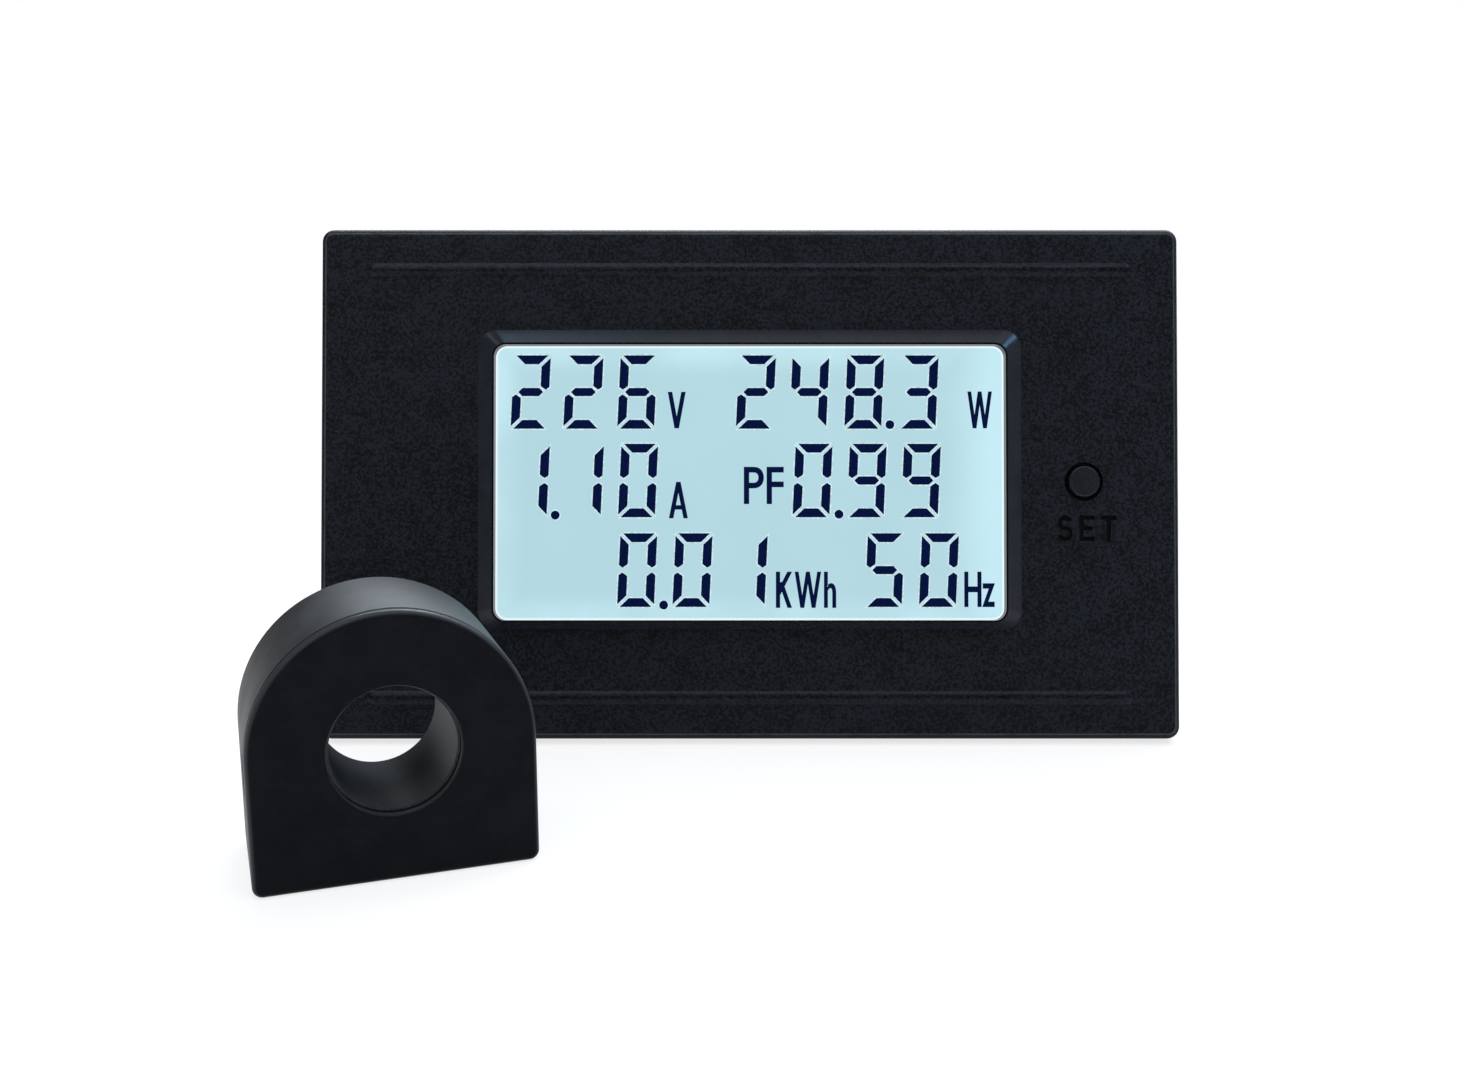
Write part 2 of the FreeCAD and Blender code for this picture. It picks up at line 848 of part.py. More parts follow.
def power_board_screws():
    return group([board_screw(x, z, power_board_front, 1) for x, z in power_bosses])


def board_header():
    strip = block(
        header_x, 0, header_width, header_pin_count * header_pitch, display_board_back, power_board_front
    )
    return strip.cut(header_holes(display_board_back, power_board_front))


def header_pin_row():
    y0, y1 = display_board_y - pin_tail, power_board_back + pin_tail
    return group([block(header_x, z, pin_side, pin_side, y0, y1) for z in header_zs])


# Chips lie on the back of the display board, with leads on two of their sides or on all four
def chip(place, length, width, height, leads, pitch, four_sided):
    cx, cz = place
    y = display_board_back
    parts = [block(cx, cz, length, width, y + chip_lift, y + height)]
    for i in range(leads):
        step = (i - (leads - 1) / 2) * pitch
        span = width + 2 * chip_lead_reach
        parts.append(block(cx + step, cz, chip_lead_width, span, y, y + lead_thick))
        if four_sided:
            span = length + 2 * chip_lead_reach
            parts.append(block(cx, cz + step, span, chip_lead_width, y, y + lead_thick))
    return joined(parts)


def microcontroller():
    side = controller_side
    return chip(
        controller_at, side, side, controller_height, controller_lead_count, controller_lead_pitch, True
    )


def small_chip(place, length, leads):
    return chip(place, length, small_chip_width, small_chip_height, leads, small_lead_pitch, False)


def crystal():
    x, z = crystal_at
    y = display_board_back
    can = block(x, z, crystal_length, crystal_width, y, y + crystal_height)
    upright = [e for e in can.Edges if abs(e.tangentAt(e.FirstParameter).y) > 0.9]
    return can.makeFillet(crystal_width / 2 - touch, upright)


# Parts on the back of the power board
def film_capacitor():
    x = -bay_x - film_width / 2
    top = power_board_back + tall_height
    body = block(x, 0, film_width, film_length, power_board_back, top)
    return body.makeChamfer(film_chamfer, edges_at_depth(body, top))


def filter_capacitor():
    top = power_board_back + tall_height
    can = rod(can_x, can_z, can_radius, power_board_back, top)
    can = can.makeFillet(can_round, edges_at_depth(can, top))
    return can.cut(cross_slot(can_x, can_z, can_radius, can_groove, top - can_groove_depth, top + over))


def surge_disc():
    x = -bay_x - disc_radius
    y = power_board_back + lead_stand + disc_radius
    disc = upright_rod(x, y, disc_radius, disc_z - disc_thick / 2, disc_z + disc_thick / 2)
    disc = disc.makeFillet(disc_round, [e for e in disc.Edges if len(e.Vertexes) == 1])
    leads = [rod(x + s * disc_radius / 2, disc_z, lead_radius, power_board_back, y) for s in (-1, 1)]
    return joined([disc] + leads)


def lying_resistor(x, z, radius, length):
    y = power_board_back + lead_stand + radius
    reach = length / 2 + lead_reach
    body = cross_rod(x - length / 2, x + length / 2, y, z, radius)
    wire = cross_rod(x - reach, x + reach, y, z, lead_radius)
    feet = [rod(x + s * (reach - lead_radius), z, lead_foot_radius, power_board_back, y) for s in (-1, 1)]
    return joined([body, wire] + feet)


def fuse_resistor():
    x = -bay_x - fuse_length / 2 - lead_reach + part_gap / 2
    return lying_resistor(x, fuse_z, fuse_radius, fuse_length)


def burden_resistors():
    z = wire_way_top + case_wall + part_gap + burden_radius
    x = burden_length / 2 + lead_reach + part_gap / 2
    return group([lying_resistor(s * x, z, burden_radius, burden_length) for s in (-1, 1)])


def low_part(z, length, width, height):
    y = power_board_back
    return block(bay_x + length / 2, z, length, width, y, y + height)


# Terminal block and its clamps
def terminal_block():
    body = box(
        -block_half_width, block_half_width, power_board_back, block_back, block_bottom, block_top
    )
    cuts = []
    half = (pole_pitch - barrier_thick) / 2
    hole = thread_radius + 2 * thread_clear
    tail = contact_tail + 2 * contact_side_clear
    low = block_bottom + barrier_thick
    for x in pole_xs:
        cuts.append(box(x - half, x + half, contact_y, block_back + over, low, block_top + over))
        cuts.append(rod(x, clamp_z, hole, thread_end_y - block_clear, contact_y + over))
        cuts.append(block(x, tail_z, tail, tail, power_board_back - over, contact_y + over))
    return body.cut(cuts)


def terminal_contacts():
    plates = []
    half = (pole_pitch - barrier_thick) / 2 - contact_side_clear
    for x in pole_xs:
        plate = box(x - half, x + half, contact_y, clamp_y, contact_low_z, block_top)
        tail = block(x, tail_z, contact_tail, contact_tail, power_board_front - pin_tail, clamp_y)
        hole = rod(x, clamp_z, thread_radius + thread_clear, contact_y - over, clamp_y + over)
        plates.append(joined([plate, tail]).cut(hole))
    return group(plates)


def clamp_plate(x):
    plate = block(x, clamp_z, clamp_side, clamp_side, clamp_y, head_y)
    return plate.cut(rod(x, clamp_z, thread_radius + thread_clear, clamp_y - over, head_y + over))


def terminal_screw(x):
    top = head_y + terminal_head_height
    shank = rod(x, clamp_z, thread_radius, thread_end_y, head_y + touch)
    head = rod(x, clamp_z, terminal_head_radius, head_y, top)
    head = head.makeFillet(terminal_head_round, edges_at_depth(head, top))
    floor = top - terminal_slot_depth
    slots = cross_slot(x, clamp_z, terminal_slot_length, terminal_slot, floor, top + over)
    return joined([shank, head]).cut(slots)


# Current sensor, in its own frame: front face at y = 0, standing on z = 0, facing -Y
def arch_outline(inset, corner, y):
    half = sensor_width / 2 - inset
    low = inset
    top = sensor_axis_height + half
    s = corner * (1 - math.sqrt(0.5))
    h = sensor_axis_height
    curve = [
        Part.LineSegment(vec(-half + corner, y, low), vec(half - corner, y, low)),
        Part.Arc(vec(half - corner, y, low), vec(half - s, y, low + s), vec(half, y, low + corner)),
        Part.LineSegment(vec(half, y, low + corner), vec(half, y, h)),
        Part.Arc(vec(half, y, h), vec(0, y, top), vec(-half, y, h)),
        Part.LineSegment(vec(-half, y, h), vec(-half, y, low + corner)),
        Part.Arc(vec(-half, y, low + corner), vec(-half + s, y, low + s), vec(-half + corner, y, low)),
    ]
    return Part.Wire([c.toShape() for c in curve])


def arch(inset, corner, y0, y1):
    return Part.Face(arch_outline(inset, corner, y0)).extrude(vec(0, y1 - y0, 0))


def axis_rod(radius, y0, y1):
    return rod(0, sensor_axis_height, radius, y0, y1)


def side_tabs(grow, y0, y1, x0, x1):
    low, high = tab_bottom - grow, tab_bottom + tab_height + grow
    return [
        box(min(s * x0, s * x1), max(s * x0, s * x1), y0 - grow, y1 + grow, low, high) for s in (-1, 1)
    ]


def sensor_cover():
    plate = arch(0, sensor_base_corner, 0, cover_thick)
    plate = plate.makeFillet(cover_round, edges_at_depth(plate, 0))
    inset = sensor_wall + cover_lip_clear
    lip = arch(inset, sensor_base_corner, cover_thick - touch, cover_thick + cover_lip)
    lip = lip.cut(arch(inset + cover_lip_wall, sensor_base_corner, 0, sensor_depth))
    end = tab_start + tab_depth
    arms = side_tabs(0, cover_thick, end, lip_half_width - tab_thick, lip_half_width)
    nibs = side_tabs(0, tab_start, end, lip_half_width - touch, lip_half_width + tab_catch)
    cover = joined([plate, lip] + arms + nibs)
    hole = axis_rod(cover_bore_radius, -over, sensor_depth)
    cover = cover.cut(hole)
    rim = [e for e in edges_at_depth(cover, 0) if e.Closed and len(e.Vertexes) == 1]
    return cover.makeFillet(cover_bore_round, rim)


def sensor_shell():
    body = arch(0, sensor_base_corner, cover_thick, sensor_depth)
    body = body.makeChamfer(seam_chamfer, edges_at_depth(body, cover_thick))
    hollow = arch(sensor_wall, sensor_base_corner, 0, shell_floor_y)
    cuts = [hollow, axis_rod(sleeve_radius, 0, sensor_depth + over)]
    cuts += side_tabs(
        tab_clear, tab_start, tab_start + tab_depth, sensor_width / 2 - sensor_wall - over, sensor_width
    )
    cuts.append(rod(grommet_x, grommet_z, grommet_hole_radius, 0, sensor_depth + over))
    return body.cut(cuts)


def sensor_sleeve():
    tube = axis_rod(sleeve_radius, cover_thick, sensor_depth)
    return tube.cut(axis_rod(sensor_bore_radius, 0, sensor_depth + over))


def ring(inner, outer, y0, y1):
    return axis_rod(outer, y0, y1).cut(axis_rod(inner, y0 - over, y1 + over))


def sensor_core():
    return ring(core_inner, core_outer, core_front, core_back)


def winding_outer():
    w = winding_build
    return ring(core_inner - w, core_outer + w, core_front - w, core_back + w)


def sensor_winding():
    return winding_outer().cut(sensor_core())


def sensor_potting():
    front = core_front - winding_build
    fill = arch(sensor_wall, sensor_base_corner, front, shell_floor_y)
    cuts = [axis_rod(sleeve_radius, 0, sensor_depth), winding_outer()]
    cuts += side_tabs(
        tab_clear, 0, tab_start + tab_depth, lip_half_width - tab_thick - tab_clear, sensor_width
    )
    cuts.append(rod(grommet_x, grommet_z, grommet_hole_radius, grommet_end_y, sensor_depth))
    return fill.cut(cuts)


def lead_grommet():
    end = sensor_depth + grommet_flange_thick
    plug = rod(grommet_x, grommet_z, grommet_hole_radius, grommet_end_y, sensor_depth + touch)
    flange = rod(grommet_x, grommet_z, grommet_hole_radius + grommet_flange, sensor_depth, end)
    flange = flange.makeFillet(grommet_flange_round, edges_at_depth(flange, end))
    return joined([plug, flange]).cut([
        rod(grommet_x + s * lead_hole_offset, grommet_z, lead_hole_radius, grommet_end_y - over, end + over)
        for s in (-1, 1)
    ])


def meter_pieces():
    pieces = {
        "front_bezel": front_bezel(),
        "rear_case": rear_case(),
        "side_latch_left": side_latch(-1),
        "side_latch_right": side_latch(1),
        "set_button": set_button(),
        "switch_plunger": switch_plunger(),
        "switch_body": switch_body(),
        "switch_legs": switch_legs(),
        "front_polarizer": front_polarizer(),
        "front_glass": front_glass(),
        "rear_glass": rear_glass(),
        "rear_polarizer": rear_polarizer(),
        "diffuser_sheet": diffuser_sheet(),
        "light_guide": light_guide(),
        "reflector_sheet": reflector_sheet(),
        "backlight_tray": backlight_tray(),
        "backlight_lamps": backlight_lamps(),
        "display_pins": display_pins(),
        "display_board": display_board(),
        "display_board_screws": display_board_screws(),
        "microcontroller": microcontroller(),
        "metering_chip": small_chip(metering_at, metering_length, metering_lead_count),
        "memory_chip": small_chip(memory_at, memory_length, memory_lead_count),
        "crystal": crystal(),
        "board_header": board_header(),
        "header_pins": header_pin_row(),
        "power_board": power_board(),
        "power_board_screws": power_board_screws(),
        "film_capacitor": film_capacitor(),
        "filter_capacitor": filter_capacitor(),
        "surge_disc": surge_disc(),
        "fuse_resistor": fuse_resistor(),
        "burden_resistors": burden_resistors(),
        "bridge_rectifier": low_part(bridge_z, bridge_length, bridge_width, bridge_height),
        "voltage_regulator": low_part(regulator_z, regulator_length, regulator_width, regulator_height),
        "terminal_block": terminal_block(),
        "terminal_contacts": terminal_contacts(),
    }
    for i, x in enumerate(pole_xs, 1):
        pieces[f"clamp_plate_{i}"] = clamp_plate(x)
        pieces[f"terminal_screw_{i}"] = terminal_screw(x)
    return pieces


def sensor_pieces():
    return {
        "sensor_cover": sensor_cover(),
        "sensor_shell": sensor_shell(),
        "sensor_sleeve": sensor_sleeve(),
        "sensor_core": sensor_core(),
        "sensor_winding": sensor_winding(),
        "sensor_potting": sensor_potting(),
        "lead_grommet": lead_grommet(),
    }


# The leaned meter stands on its bezel's lower rear edge, which lies on y = 0, z = 0 here
def stand_meter(shape):
    shape.translate(vec(0, 0, panel_height / 2))
    shape.rotate(vec(0, 0, 0), X_AXIS, -math.degrees(lean_angle))
    return shape


def stand_sensor(shape):
    shape.rotate(vec(0, 0, 0), Z_AXIS, sensor_turn)
    shape.translate(vec(sensor_x, -sensor_forward, 0))
    return shape


def build():
    pieces = {name: stand_meter(shape) for name, shape in meter_pieces().items()}
    pieces.update({name: stand_sensor(shape) for name, shape in sensor_pieces().items()})
    whole = group(list(pieces.values())).optimalBoundingBox(False, False)
    shift = vec(-whole.Center.x, -whole.Center.y, -whole.ZMin)
    for shape in pieces.values():
        shape.translate(shift)
    return pieces, shift


def main():
    pieces, shift = build()
    os.makedirs("parts", exist_ok=True)
    for name, shape in pieces.items():
        shape.exportStep(f"parts/{name}.step")
        print(name, len(shape.Solids), round(shape.Volume, 2), shape.isValid())
    print("lean", round(math.degrees(lean_angle), 4), "shift", shift)


main()
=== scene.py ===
import json
import math
import bpy
from mathutils import Matrix, Vector


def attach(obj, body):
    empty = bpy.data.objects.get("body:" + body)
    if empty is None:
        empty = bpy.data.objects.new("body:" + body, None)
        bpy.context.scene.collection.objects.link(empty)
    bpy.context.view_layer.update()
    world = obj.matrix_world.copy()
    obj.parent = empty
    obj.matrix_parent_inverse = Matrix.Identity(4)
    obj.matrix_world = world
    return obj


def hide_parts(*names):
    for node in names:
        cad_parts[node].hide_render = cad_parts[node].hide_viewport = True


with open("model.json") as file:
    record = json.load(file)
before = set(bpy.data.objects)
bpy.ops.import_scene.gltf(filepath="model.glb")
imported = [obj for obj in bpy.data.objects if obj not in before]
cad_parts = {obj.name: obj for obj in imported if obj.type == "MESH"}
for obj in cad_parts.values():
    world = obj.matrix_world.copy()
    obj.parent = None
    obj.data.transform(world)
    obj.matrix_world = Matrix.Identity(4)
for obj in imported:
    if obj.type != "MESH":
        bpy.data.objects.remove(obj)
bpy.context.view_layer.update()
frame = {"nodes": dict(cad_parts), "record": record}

print("frame loaded:", len(frame["nodes"]), "nodes")

# the two things stand on one table: the meter leans back, the sensor is turned a little
meterStance = {"leanDegrees": 12.5115, "middleHeight": 25.15, "forward": 3.41725}
sensorStance = {"turnDegrees": 20.15, "x": -27.38, "y": -30.48275}
drawingScale = 0.001  # pieces are drawn in millimetres

lean = math.radians(meterStance["leanDegrees"])
meterPlace = (
    Matrix.Translation((0, meterStance["forward"] * drawingScale, 0))
    @ Matrix.Rotation(-lean, 4, "X")
    @ Matrix.Translation((0, 0, meterStance["middleHeight"] * drawingScale))
    @ Matrix.Scale(drawingScale, 4)
)


# helpers for modelling by hand
def onlyThis(piece):
    if bpy.context.object and bpy.context.object.mode == "EDIT":
        bpy.ops.object.mode_set(mode="OBJECT")
    bpy.ops.object.select_all(action="DESELECT")
    piece.select_set(True)
    bpy.context.view_layer.objects.active = piece


def editMode(piece, kind="FACE"):
    onlyThis(piece)
    bpy.ops.object.mode_set(mode="EDIT")
    bpy.ops.mesh.select_mode(type=kind)


def objectMode():
    bpy.ops.object.mode_set(mode="OBJECT")


def namedPiece(name):
    piece = bpy.context.object
    piece.name = name
    piece.data.name = name
    return piece


def flatPlate(name, centre, width, height):
    # a plane that faces the viewer, standing upright at its size and place
    bpy.ops.object.select_all(action="DESELECT")
    bpy.ops.mesh.primitive_plane_add(size=1, location=centre, rotation=(math.pi / 2, 0, 0))
    piece = namedPiece(name)
    piece.scale = (width, height, 1)
    bpy.ops.object.transform_apply(location=True, rotation=True, scale=True)
    return piece


def roundCorners(piece, radius, segments):
    editMode(piece, "VERT")
    bpy.ops.mesh.select_all(action="SELECT")
    bpy.ops.mesh.bevel(offset=radius, offset_type="OFFSET", segments=segments, affect="VERTICES")
    objectMode()


def thicken(piece, depth):
    # pulls the flat face back from the viewer and closes it behind
    editMode(piece)
    bpy.ops.mesh.select_all(action="SELECT")
    bpy.ops.mesh.extrude_region_move(TRANSFORM_OT_translate={"value": (0, depth, 0)})
    bpy.ops.mesh.select_all(action="SELECT")
    bpy.ops.mesh.normals_make_consistent(inside=False)
    objectMode()


def cutAway(piece, point, normal):
    # everything on the side that the normal points to goes
    editMode(piece)
    bpy.ops.mesh.select_all(action="SELECT")
    bpy.ops.mesh.bisect(plane_co=point, plane_no=normal, clear_outer=True, threshold=1e-5)
    objectMode()


def copyOf(piece, name):
    twin = piece.copy()
    twin.data = piece.data.copy()
    twin.name = name
    twin.data.name = name
    bpy.context.scene.collection.objects.link(twin)
    return twin


def joinAll(pieces, name):
    onlyThis(pieces[0])
    for piece in pieces[1:]:
        piece.select_set(True)
    if len(pieces) > 1:
        bpy.ops.object.join()
    return namedPiece(name)


def standIn(piece, place):
    onlyThis(piece)
    piece.matrix_world = place @ piece.matrix_world
    bpy.ops.object.transform_apply(location=True, rotation=True, scale=True)
    return piece


def dress(piece, material):
    piece.data.materials.clear()
    piece.data.materials.append(material)
    for face in piece.data.polygons:
        face.material_index = 0


# a wire is a shader socket that can be added, multiplied and so on
class Wire:
    def __init__(self, tree, socket=None):
        self.tree = tree
        self.socket = socket

    def add(self, kind, settings=None, sockets=None, output=0):
        node = self.tree.nodes.new("ShaderNode" + kind)
        for name, value in (settings or {}).items():
            setattr(node, name, value)
        for name, value in (sockets or {}).items():
            if isinstance(value, Wire):
                self.tree.links.new(value.socket, node.inputs[name])
            else:
                node.inputs[name].default_value = value
        return Wire(self.tree, node.outputs[output])

    def maths(self, operation, first, second=0.0):
        return self.add("Math", {"operation": operation}, {0: first, 1: second})

    def __add__(self, other):
        return self.maths("ADD", self, other)

    def __sub__(self, other):
        return self.maths("SUBTRACT", self, other)

    def __rsub__(self, other):
        return self.maths("SUBTRACT", other, self)

    def __mul__(self, other):
        return self.maths("MULTIPLY", self, other)

    def __abs__(self):
        return self.maths("ABSOLUTE", self)

    __radd__ = __add__
    __rmul__ = __mul__

    def rise(self, low, high):
        # 0 below low, 1 above high, smooth between
        return self.add("MapRange", {"interpolation_type": "SMOOTHSTEP"}, {0: self, 1: low, 2: high})

    def blend(self, first, second):
        # a colour that goes from first to second as this goes from 0 to 1
        return self.add("Mix", {"data_type": "RGBA"}, {0: self, 6: first, 7: second}, 2)

    def along(self, axis, start=0.0):
        # how far a point lies along an axis, in millimetres
        direction = tuple(value / drawingScale for value in axis)
        reach = self.add("VectorMath", {"operation": "DOT_PRODUCT"}, {0: self, 1: direction}, "Value")
        return reach - start

    def noise(self, size, detail=3.0, roughness=0.5):
        scale = 1 / (size * drawingScale)
        sockets = {"Vector": self, "Scale": scale, "Detail": detail, "Roughness": roughness}
        return self.add("TexNoise", {}, sockets)

    def bump(self, height, distance, strength=1.0):
        sockets = {"Height": height, "Distance": distance * drawingScale, "Strength": strength}
        return self.add("Bump", {}, sockets)


def newMaterial(name):
    material = bpy.data.materials.new(name)
    material.use_nodes = True
    tree = material.node_tree
    tree.nodes.clear()
    wires = Wire(tree)
    place = wires.add("TexCoord", {}, {}, "Object")
    return material, wires, place


def meterAxes(place):
    # across, into and up the meter's front, in millimetres
    side, rise = math.cos(lean), math.sin(lean)
    forward = meterStance["forward"]
    across = place.along((1, 0, 0))
    into = place.along((0, side, -rise), forward * side)
    up = place.along((0, rise, side), forward * rise + meterStance["middleHeight"])
    return across, into, up


def intoSensor(place):
    # how deep a point lies behind the sensor's front, in millimetres
    turn = math.radians(sensorStance["turnDegrees"])
    side, rise = math.cos(turn), math.sin(turn)
    return place.along((-rise, side, 0), sensorStance["y"] * side - sensorStance["x"] * rise)


def depthInside(wires, x, z, width, height, corner):
    # how far a point lies inside a rectangle with round corners, less than 0 outside
    outX = abs(x) - (width / 2 - corner)
    outZ = abs(z) - (height / 2 - corner)
    cornerX = wires.maths("MAXIMUM", outX, 0.0)
    cornerZ = wires.maths("MAXIMUM", outZ, 0.0)
    reach = wires.maths("SQRT", cornerX * cornerX + cornerZ * cornerZ)
    inside = wires.maths("MINIMUM", wires.maths("MAXIMUM", outX, outZ), 0.0)
    return corner - (reach + inside)


def surface(wires, sockets):
    shader = wires.add("BsdfPrincipled", {}, sockets, "BSDF")
    output = wires.tree.nodes.new("ShaderNodeOutputMaterial")
    wires.tree.links.new(shader.socket, output.inputs["Surface"])


def rgba(color, factor=1.0):
    return tuple(value * factor for value in color[:3]) + (1.0,)


# what finishes of one kind share, unless a finish names its own
mould = {
    "cloudSize": 3.0, "cloudShare": 0.35, "grainShare": 0.65, "tone": (0.33, 0.67), "dark": 0.75,
    "light": 1.3, "roughnessSpread": 0.15, "fineSize": 0.4, "grainHeight": 0.7, "fineHeight": 0.3,
    "bumpStrength": 0.6, "grainRoughness": 0.6, "specular": 0.35,
}


def mouldedPlastic(name, look):
    # fine spark texture from the mould, colour that is never quite even, and bumps to match
    look = {**mould, **look}
    material, wires, place = newMaterial(name)
    cloud = place.noise(look["cloudSize"], 2.0)
    grain = place.noise(look["grainSize"], 2.0, look["grainRoughness"])
    tone = (cloud * look["cloudShare"] + grain * look["grainShare"]).rise(*look["tone"])
    color = tone.blend(rgba(look["color"], look["dark"]), rgba(look["color"], look["light"]))
    rough = look["roughness"] + (grain - 0.5) * look["roughnessSpread"]
    fine = place.noise(look["grainSize"] * look["fineSize"], 2.0)
    height = grain * look["grainHeight"] + fine * look["fineHeight"]
    normal = place.bump(height, look["grainDepth"], look["bumpStrength"])
    surface(wires, {
        "Base Color": color, "Roughness": rough, "Normal": normal, "Specular IOR Level": look["specular"],
    })
    return material


gloss = {
    "smear": (0.4, 0.75), "light": 1.35, "waveHeight": 0.6, "fineHeight": 0.4, "bumpStrength": 0.4,
    "smearRoughness": 0.6, "specular": 0.5,
}


def glossPlastic(name, look):
    # smooth plastic with faint waves from the mould and a few dull smears
    look = {**gloss, **look}
    material, wires, place = newMaterial(name)
    wave = place.noise(look["waveSize"], 2.0)
    smear = place.noise(look["smearSize"], 4.0, look["smearRoughness"]).rise(*look["smear"])
    color = smear.blend(rgba(look["color"]), rgba(look["color"], look["light"]))
    rough = smear * look["roughnessSpread"] + look["roughness"]
    fine = place.noise(look["grainSize"], 2.0)
    height = wave * look["waveHeight"] + fine * look["fineHeight"]
    normal = place.bump(height, look["grainDepth"], look["bumpStrength"])
    surface(wires, {
        "Base Color": color, "Roughness": rough, "Normal": normal, "Specular IOR Level": look["specular"],
    })
    return material


metal = {
    "lineStretch": (1, 12, 1), "lineRoughness": 0.6, "spots": (0.45, 0.75), "dark": 0.6,
    "spotDullness": 0.1, "bumpStrength": 0.5,
}


def metalFinish(name, look):
    # plated or turned metal: fine lines along one axis, dull spots where the plating has aged
    look = {**metal, **look}
    material, wires, place = newMaterial(name)
    stretched = place.add("Mapping", {}, {"Vector": place, "Scale": look["lineStretch"]})
    lines = stretched.noise(look["lineSize"], 3.0, look["lineRoughness"])
    spots = place.noise(look["spotSize"], 3.0, look["lineRoughness"]).rise(*look["spots"])
    color = spots.blend(rgba(look["color"]), rgba(look["color"], look["dark"]))
    rough = lines * look["roughnessSpread"] + spots * look["spotDullness"] + look["roughness"]
    normal = place.bump(lines, look["lineDepth"], look["bumpStrength"])
    surface(wires, {"Base Color": color, "Roughness": rough, "Normal": normal, "Metallic": 1.0})
    return material


def bezelFinish(name, look):
    # spark-eroded face, smoother display frame painted lighter than the face as a painted sheen, a painted
    # highlight line along the round of the front's edge, and a word sunk into the face whose floor, like
    # the window's inner wall, is coloured near black
    material, wires, place = newMaterial(name)
    across, into, up = meterAxes(place)
    wordBox, soft = look["wordBox"], look["edgeSoft"]

    def within(value, low, high):
        return value.rise(low - soft, low + soft) * (1 - value.rise(high - soft, high + soft))

    def insideOf(part):
        level = up - part["middle"]
        depth = depthInside(wires, across, level, part["width"], part["height"], part["corner"])
        return depth.rise(-soft, soft)

    framed = insideOf(look["frame"])
    sunk = within(across, *wordBox[:2]) * within(up, *wordBox[2:]) * into.rise(*look["wordDepth"])
    # the sunk word's floor and the window's inner wall are coloured near black
    black = wires.maths("MAXIMUM", sunk, insideOf(look["lip"]))
    cloud = place.noise(look["cloudSize"], 3.0)
    grain = place.noise(look["grainSize"], 2.0, look["grainRoughness"])
    tone = (cloud * look["cloudShare"] + grain * look["grainShare"]).rise(*look["tone"])
    # painted highlight: a pale line along the round of the front's outer edge, broken into patches
    wornPatches = cloud.rise(*look["wornPatches"])
    paintedEdgeLine = into.rise(*look["wornFrom"]) * (1 - into.rise(*look["wornTo"])) * wornPatches
    ribbed = (1 - into.rise(*look["ribFrom"])) * (1 - framed) * (1 - black)
    paintedHighlightAndShine = wires.maths("MAXIMUM", paintedEdgeLine, ribbed)
    face = tone.blend(rgba(look["color"], look["dark"]), rgba(look["color"], look["light"]))
    # the frame is painted lighter than the face: a painted sheen
    framePatches = cloud.rise(*look["framePatches"])
    dull, bright = look["frameTone"]
    frameSheen = framePatches.blend(rgba(look["frameColor"], dull), rgba(look["frameColor"], bright))
    color = paintedEdgeLine.blend(framed.blend(face, frameSheen), rgba(look["wornColor"]))
    color = black.blend(color, rgba(look["blackColor"]))
    rough = look["roughness"] + framed * (look["frameRoughness"] - look["roughness"])
    rough = rough + paintedHighlightAndShine * (look["edgeRoughness"] - look["roughness"]) * (1 - framed)
    rough = rough + (grain - 0.5) * look["roughnessSpread"]
    calm = 1 - wires.maths("MAXIMUM", framed, paintedHighlightAndShine) * look["smoothing"]
    normal = place.bump(grain * calm, look["grainDepth"], look["bumpStrength"])
    surface(wires, {
        "Base Color": color, "Roughness": rough, "Normal": normal, "Specular IOR Level": look["specular"],
    })
    return material


def coverFinish(name, look):
    # dull front, with a painted highlight on the moulded edge round it, which is also a little shinier
    material, wires, place = newMaterial(name)
    into = intoSensor(place)
    # painted highlight: the moulded edge round the front is coloured brighter
    paintedHighlightAndShine = into.rise(*look["edgeFrom"]) * (1 - into.rise(*look["edgeTo"]))
    grain = place.noise(look["grainSize"], 3.0, look["grainRoughness"])
    cloud = place.noise(look["cloudSize"], 2.0)
    tone = (grain * look["grainShare"] + cloud * look["cloudShare"]).rise(*look["tone"])
    front = tone.blend(rgba(look["color"], look["dark"]), rgba(look["color"], look["light"]))
    color = paintedHighlightAndShine.blend(front, rgba(look["edgeColor"]))
    rough = look["roughness"] - paintedHighlightAndShine * look["edgeShine"] + (grain - 0.5) * look["roughnessSpread"]
    normal = place.bump(grain, look["grainDepth"], look["bumpStrength"])
    surface(wires, {
        "Base Color": color, "Roughness": rough, "Normal": normal, "Specular IOR Level": look["specular"],
    })
    return material


sheet = {
    "dust": (0.5, 0.8), "dustRoughness": 0.6, "dustShade": 0.8, "dustDullness": 0.15, "clearness": 0.85,
}


def clearSheet(name, look):
    # glass and films of the display, a little dusty
    look = {**sheet, **look}
    material, wires, place = newMaterial(name)
    dust = place.noise(look["dustSize"], 4.0, look["dustRoughness"]).rise(*look["dust"])
    color = dust.blend(rgba(look["color"]), rgba(look["color"], look["dustShade"]))
    rough = dust * look["dustDullness"] + look["roughness"]
    surface(wires, {
        "Base Color": color, "Roughness": rough, "IOR": look["ior"],
        "Transmission Weight": look["clearness"],
    })
    return material


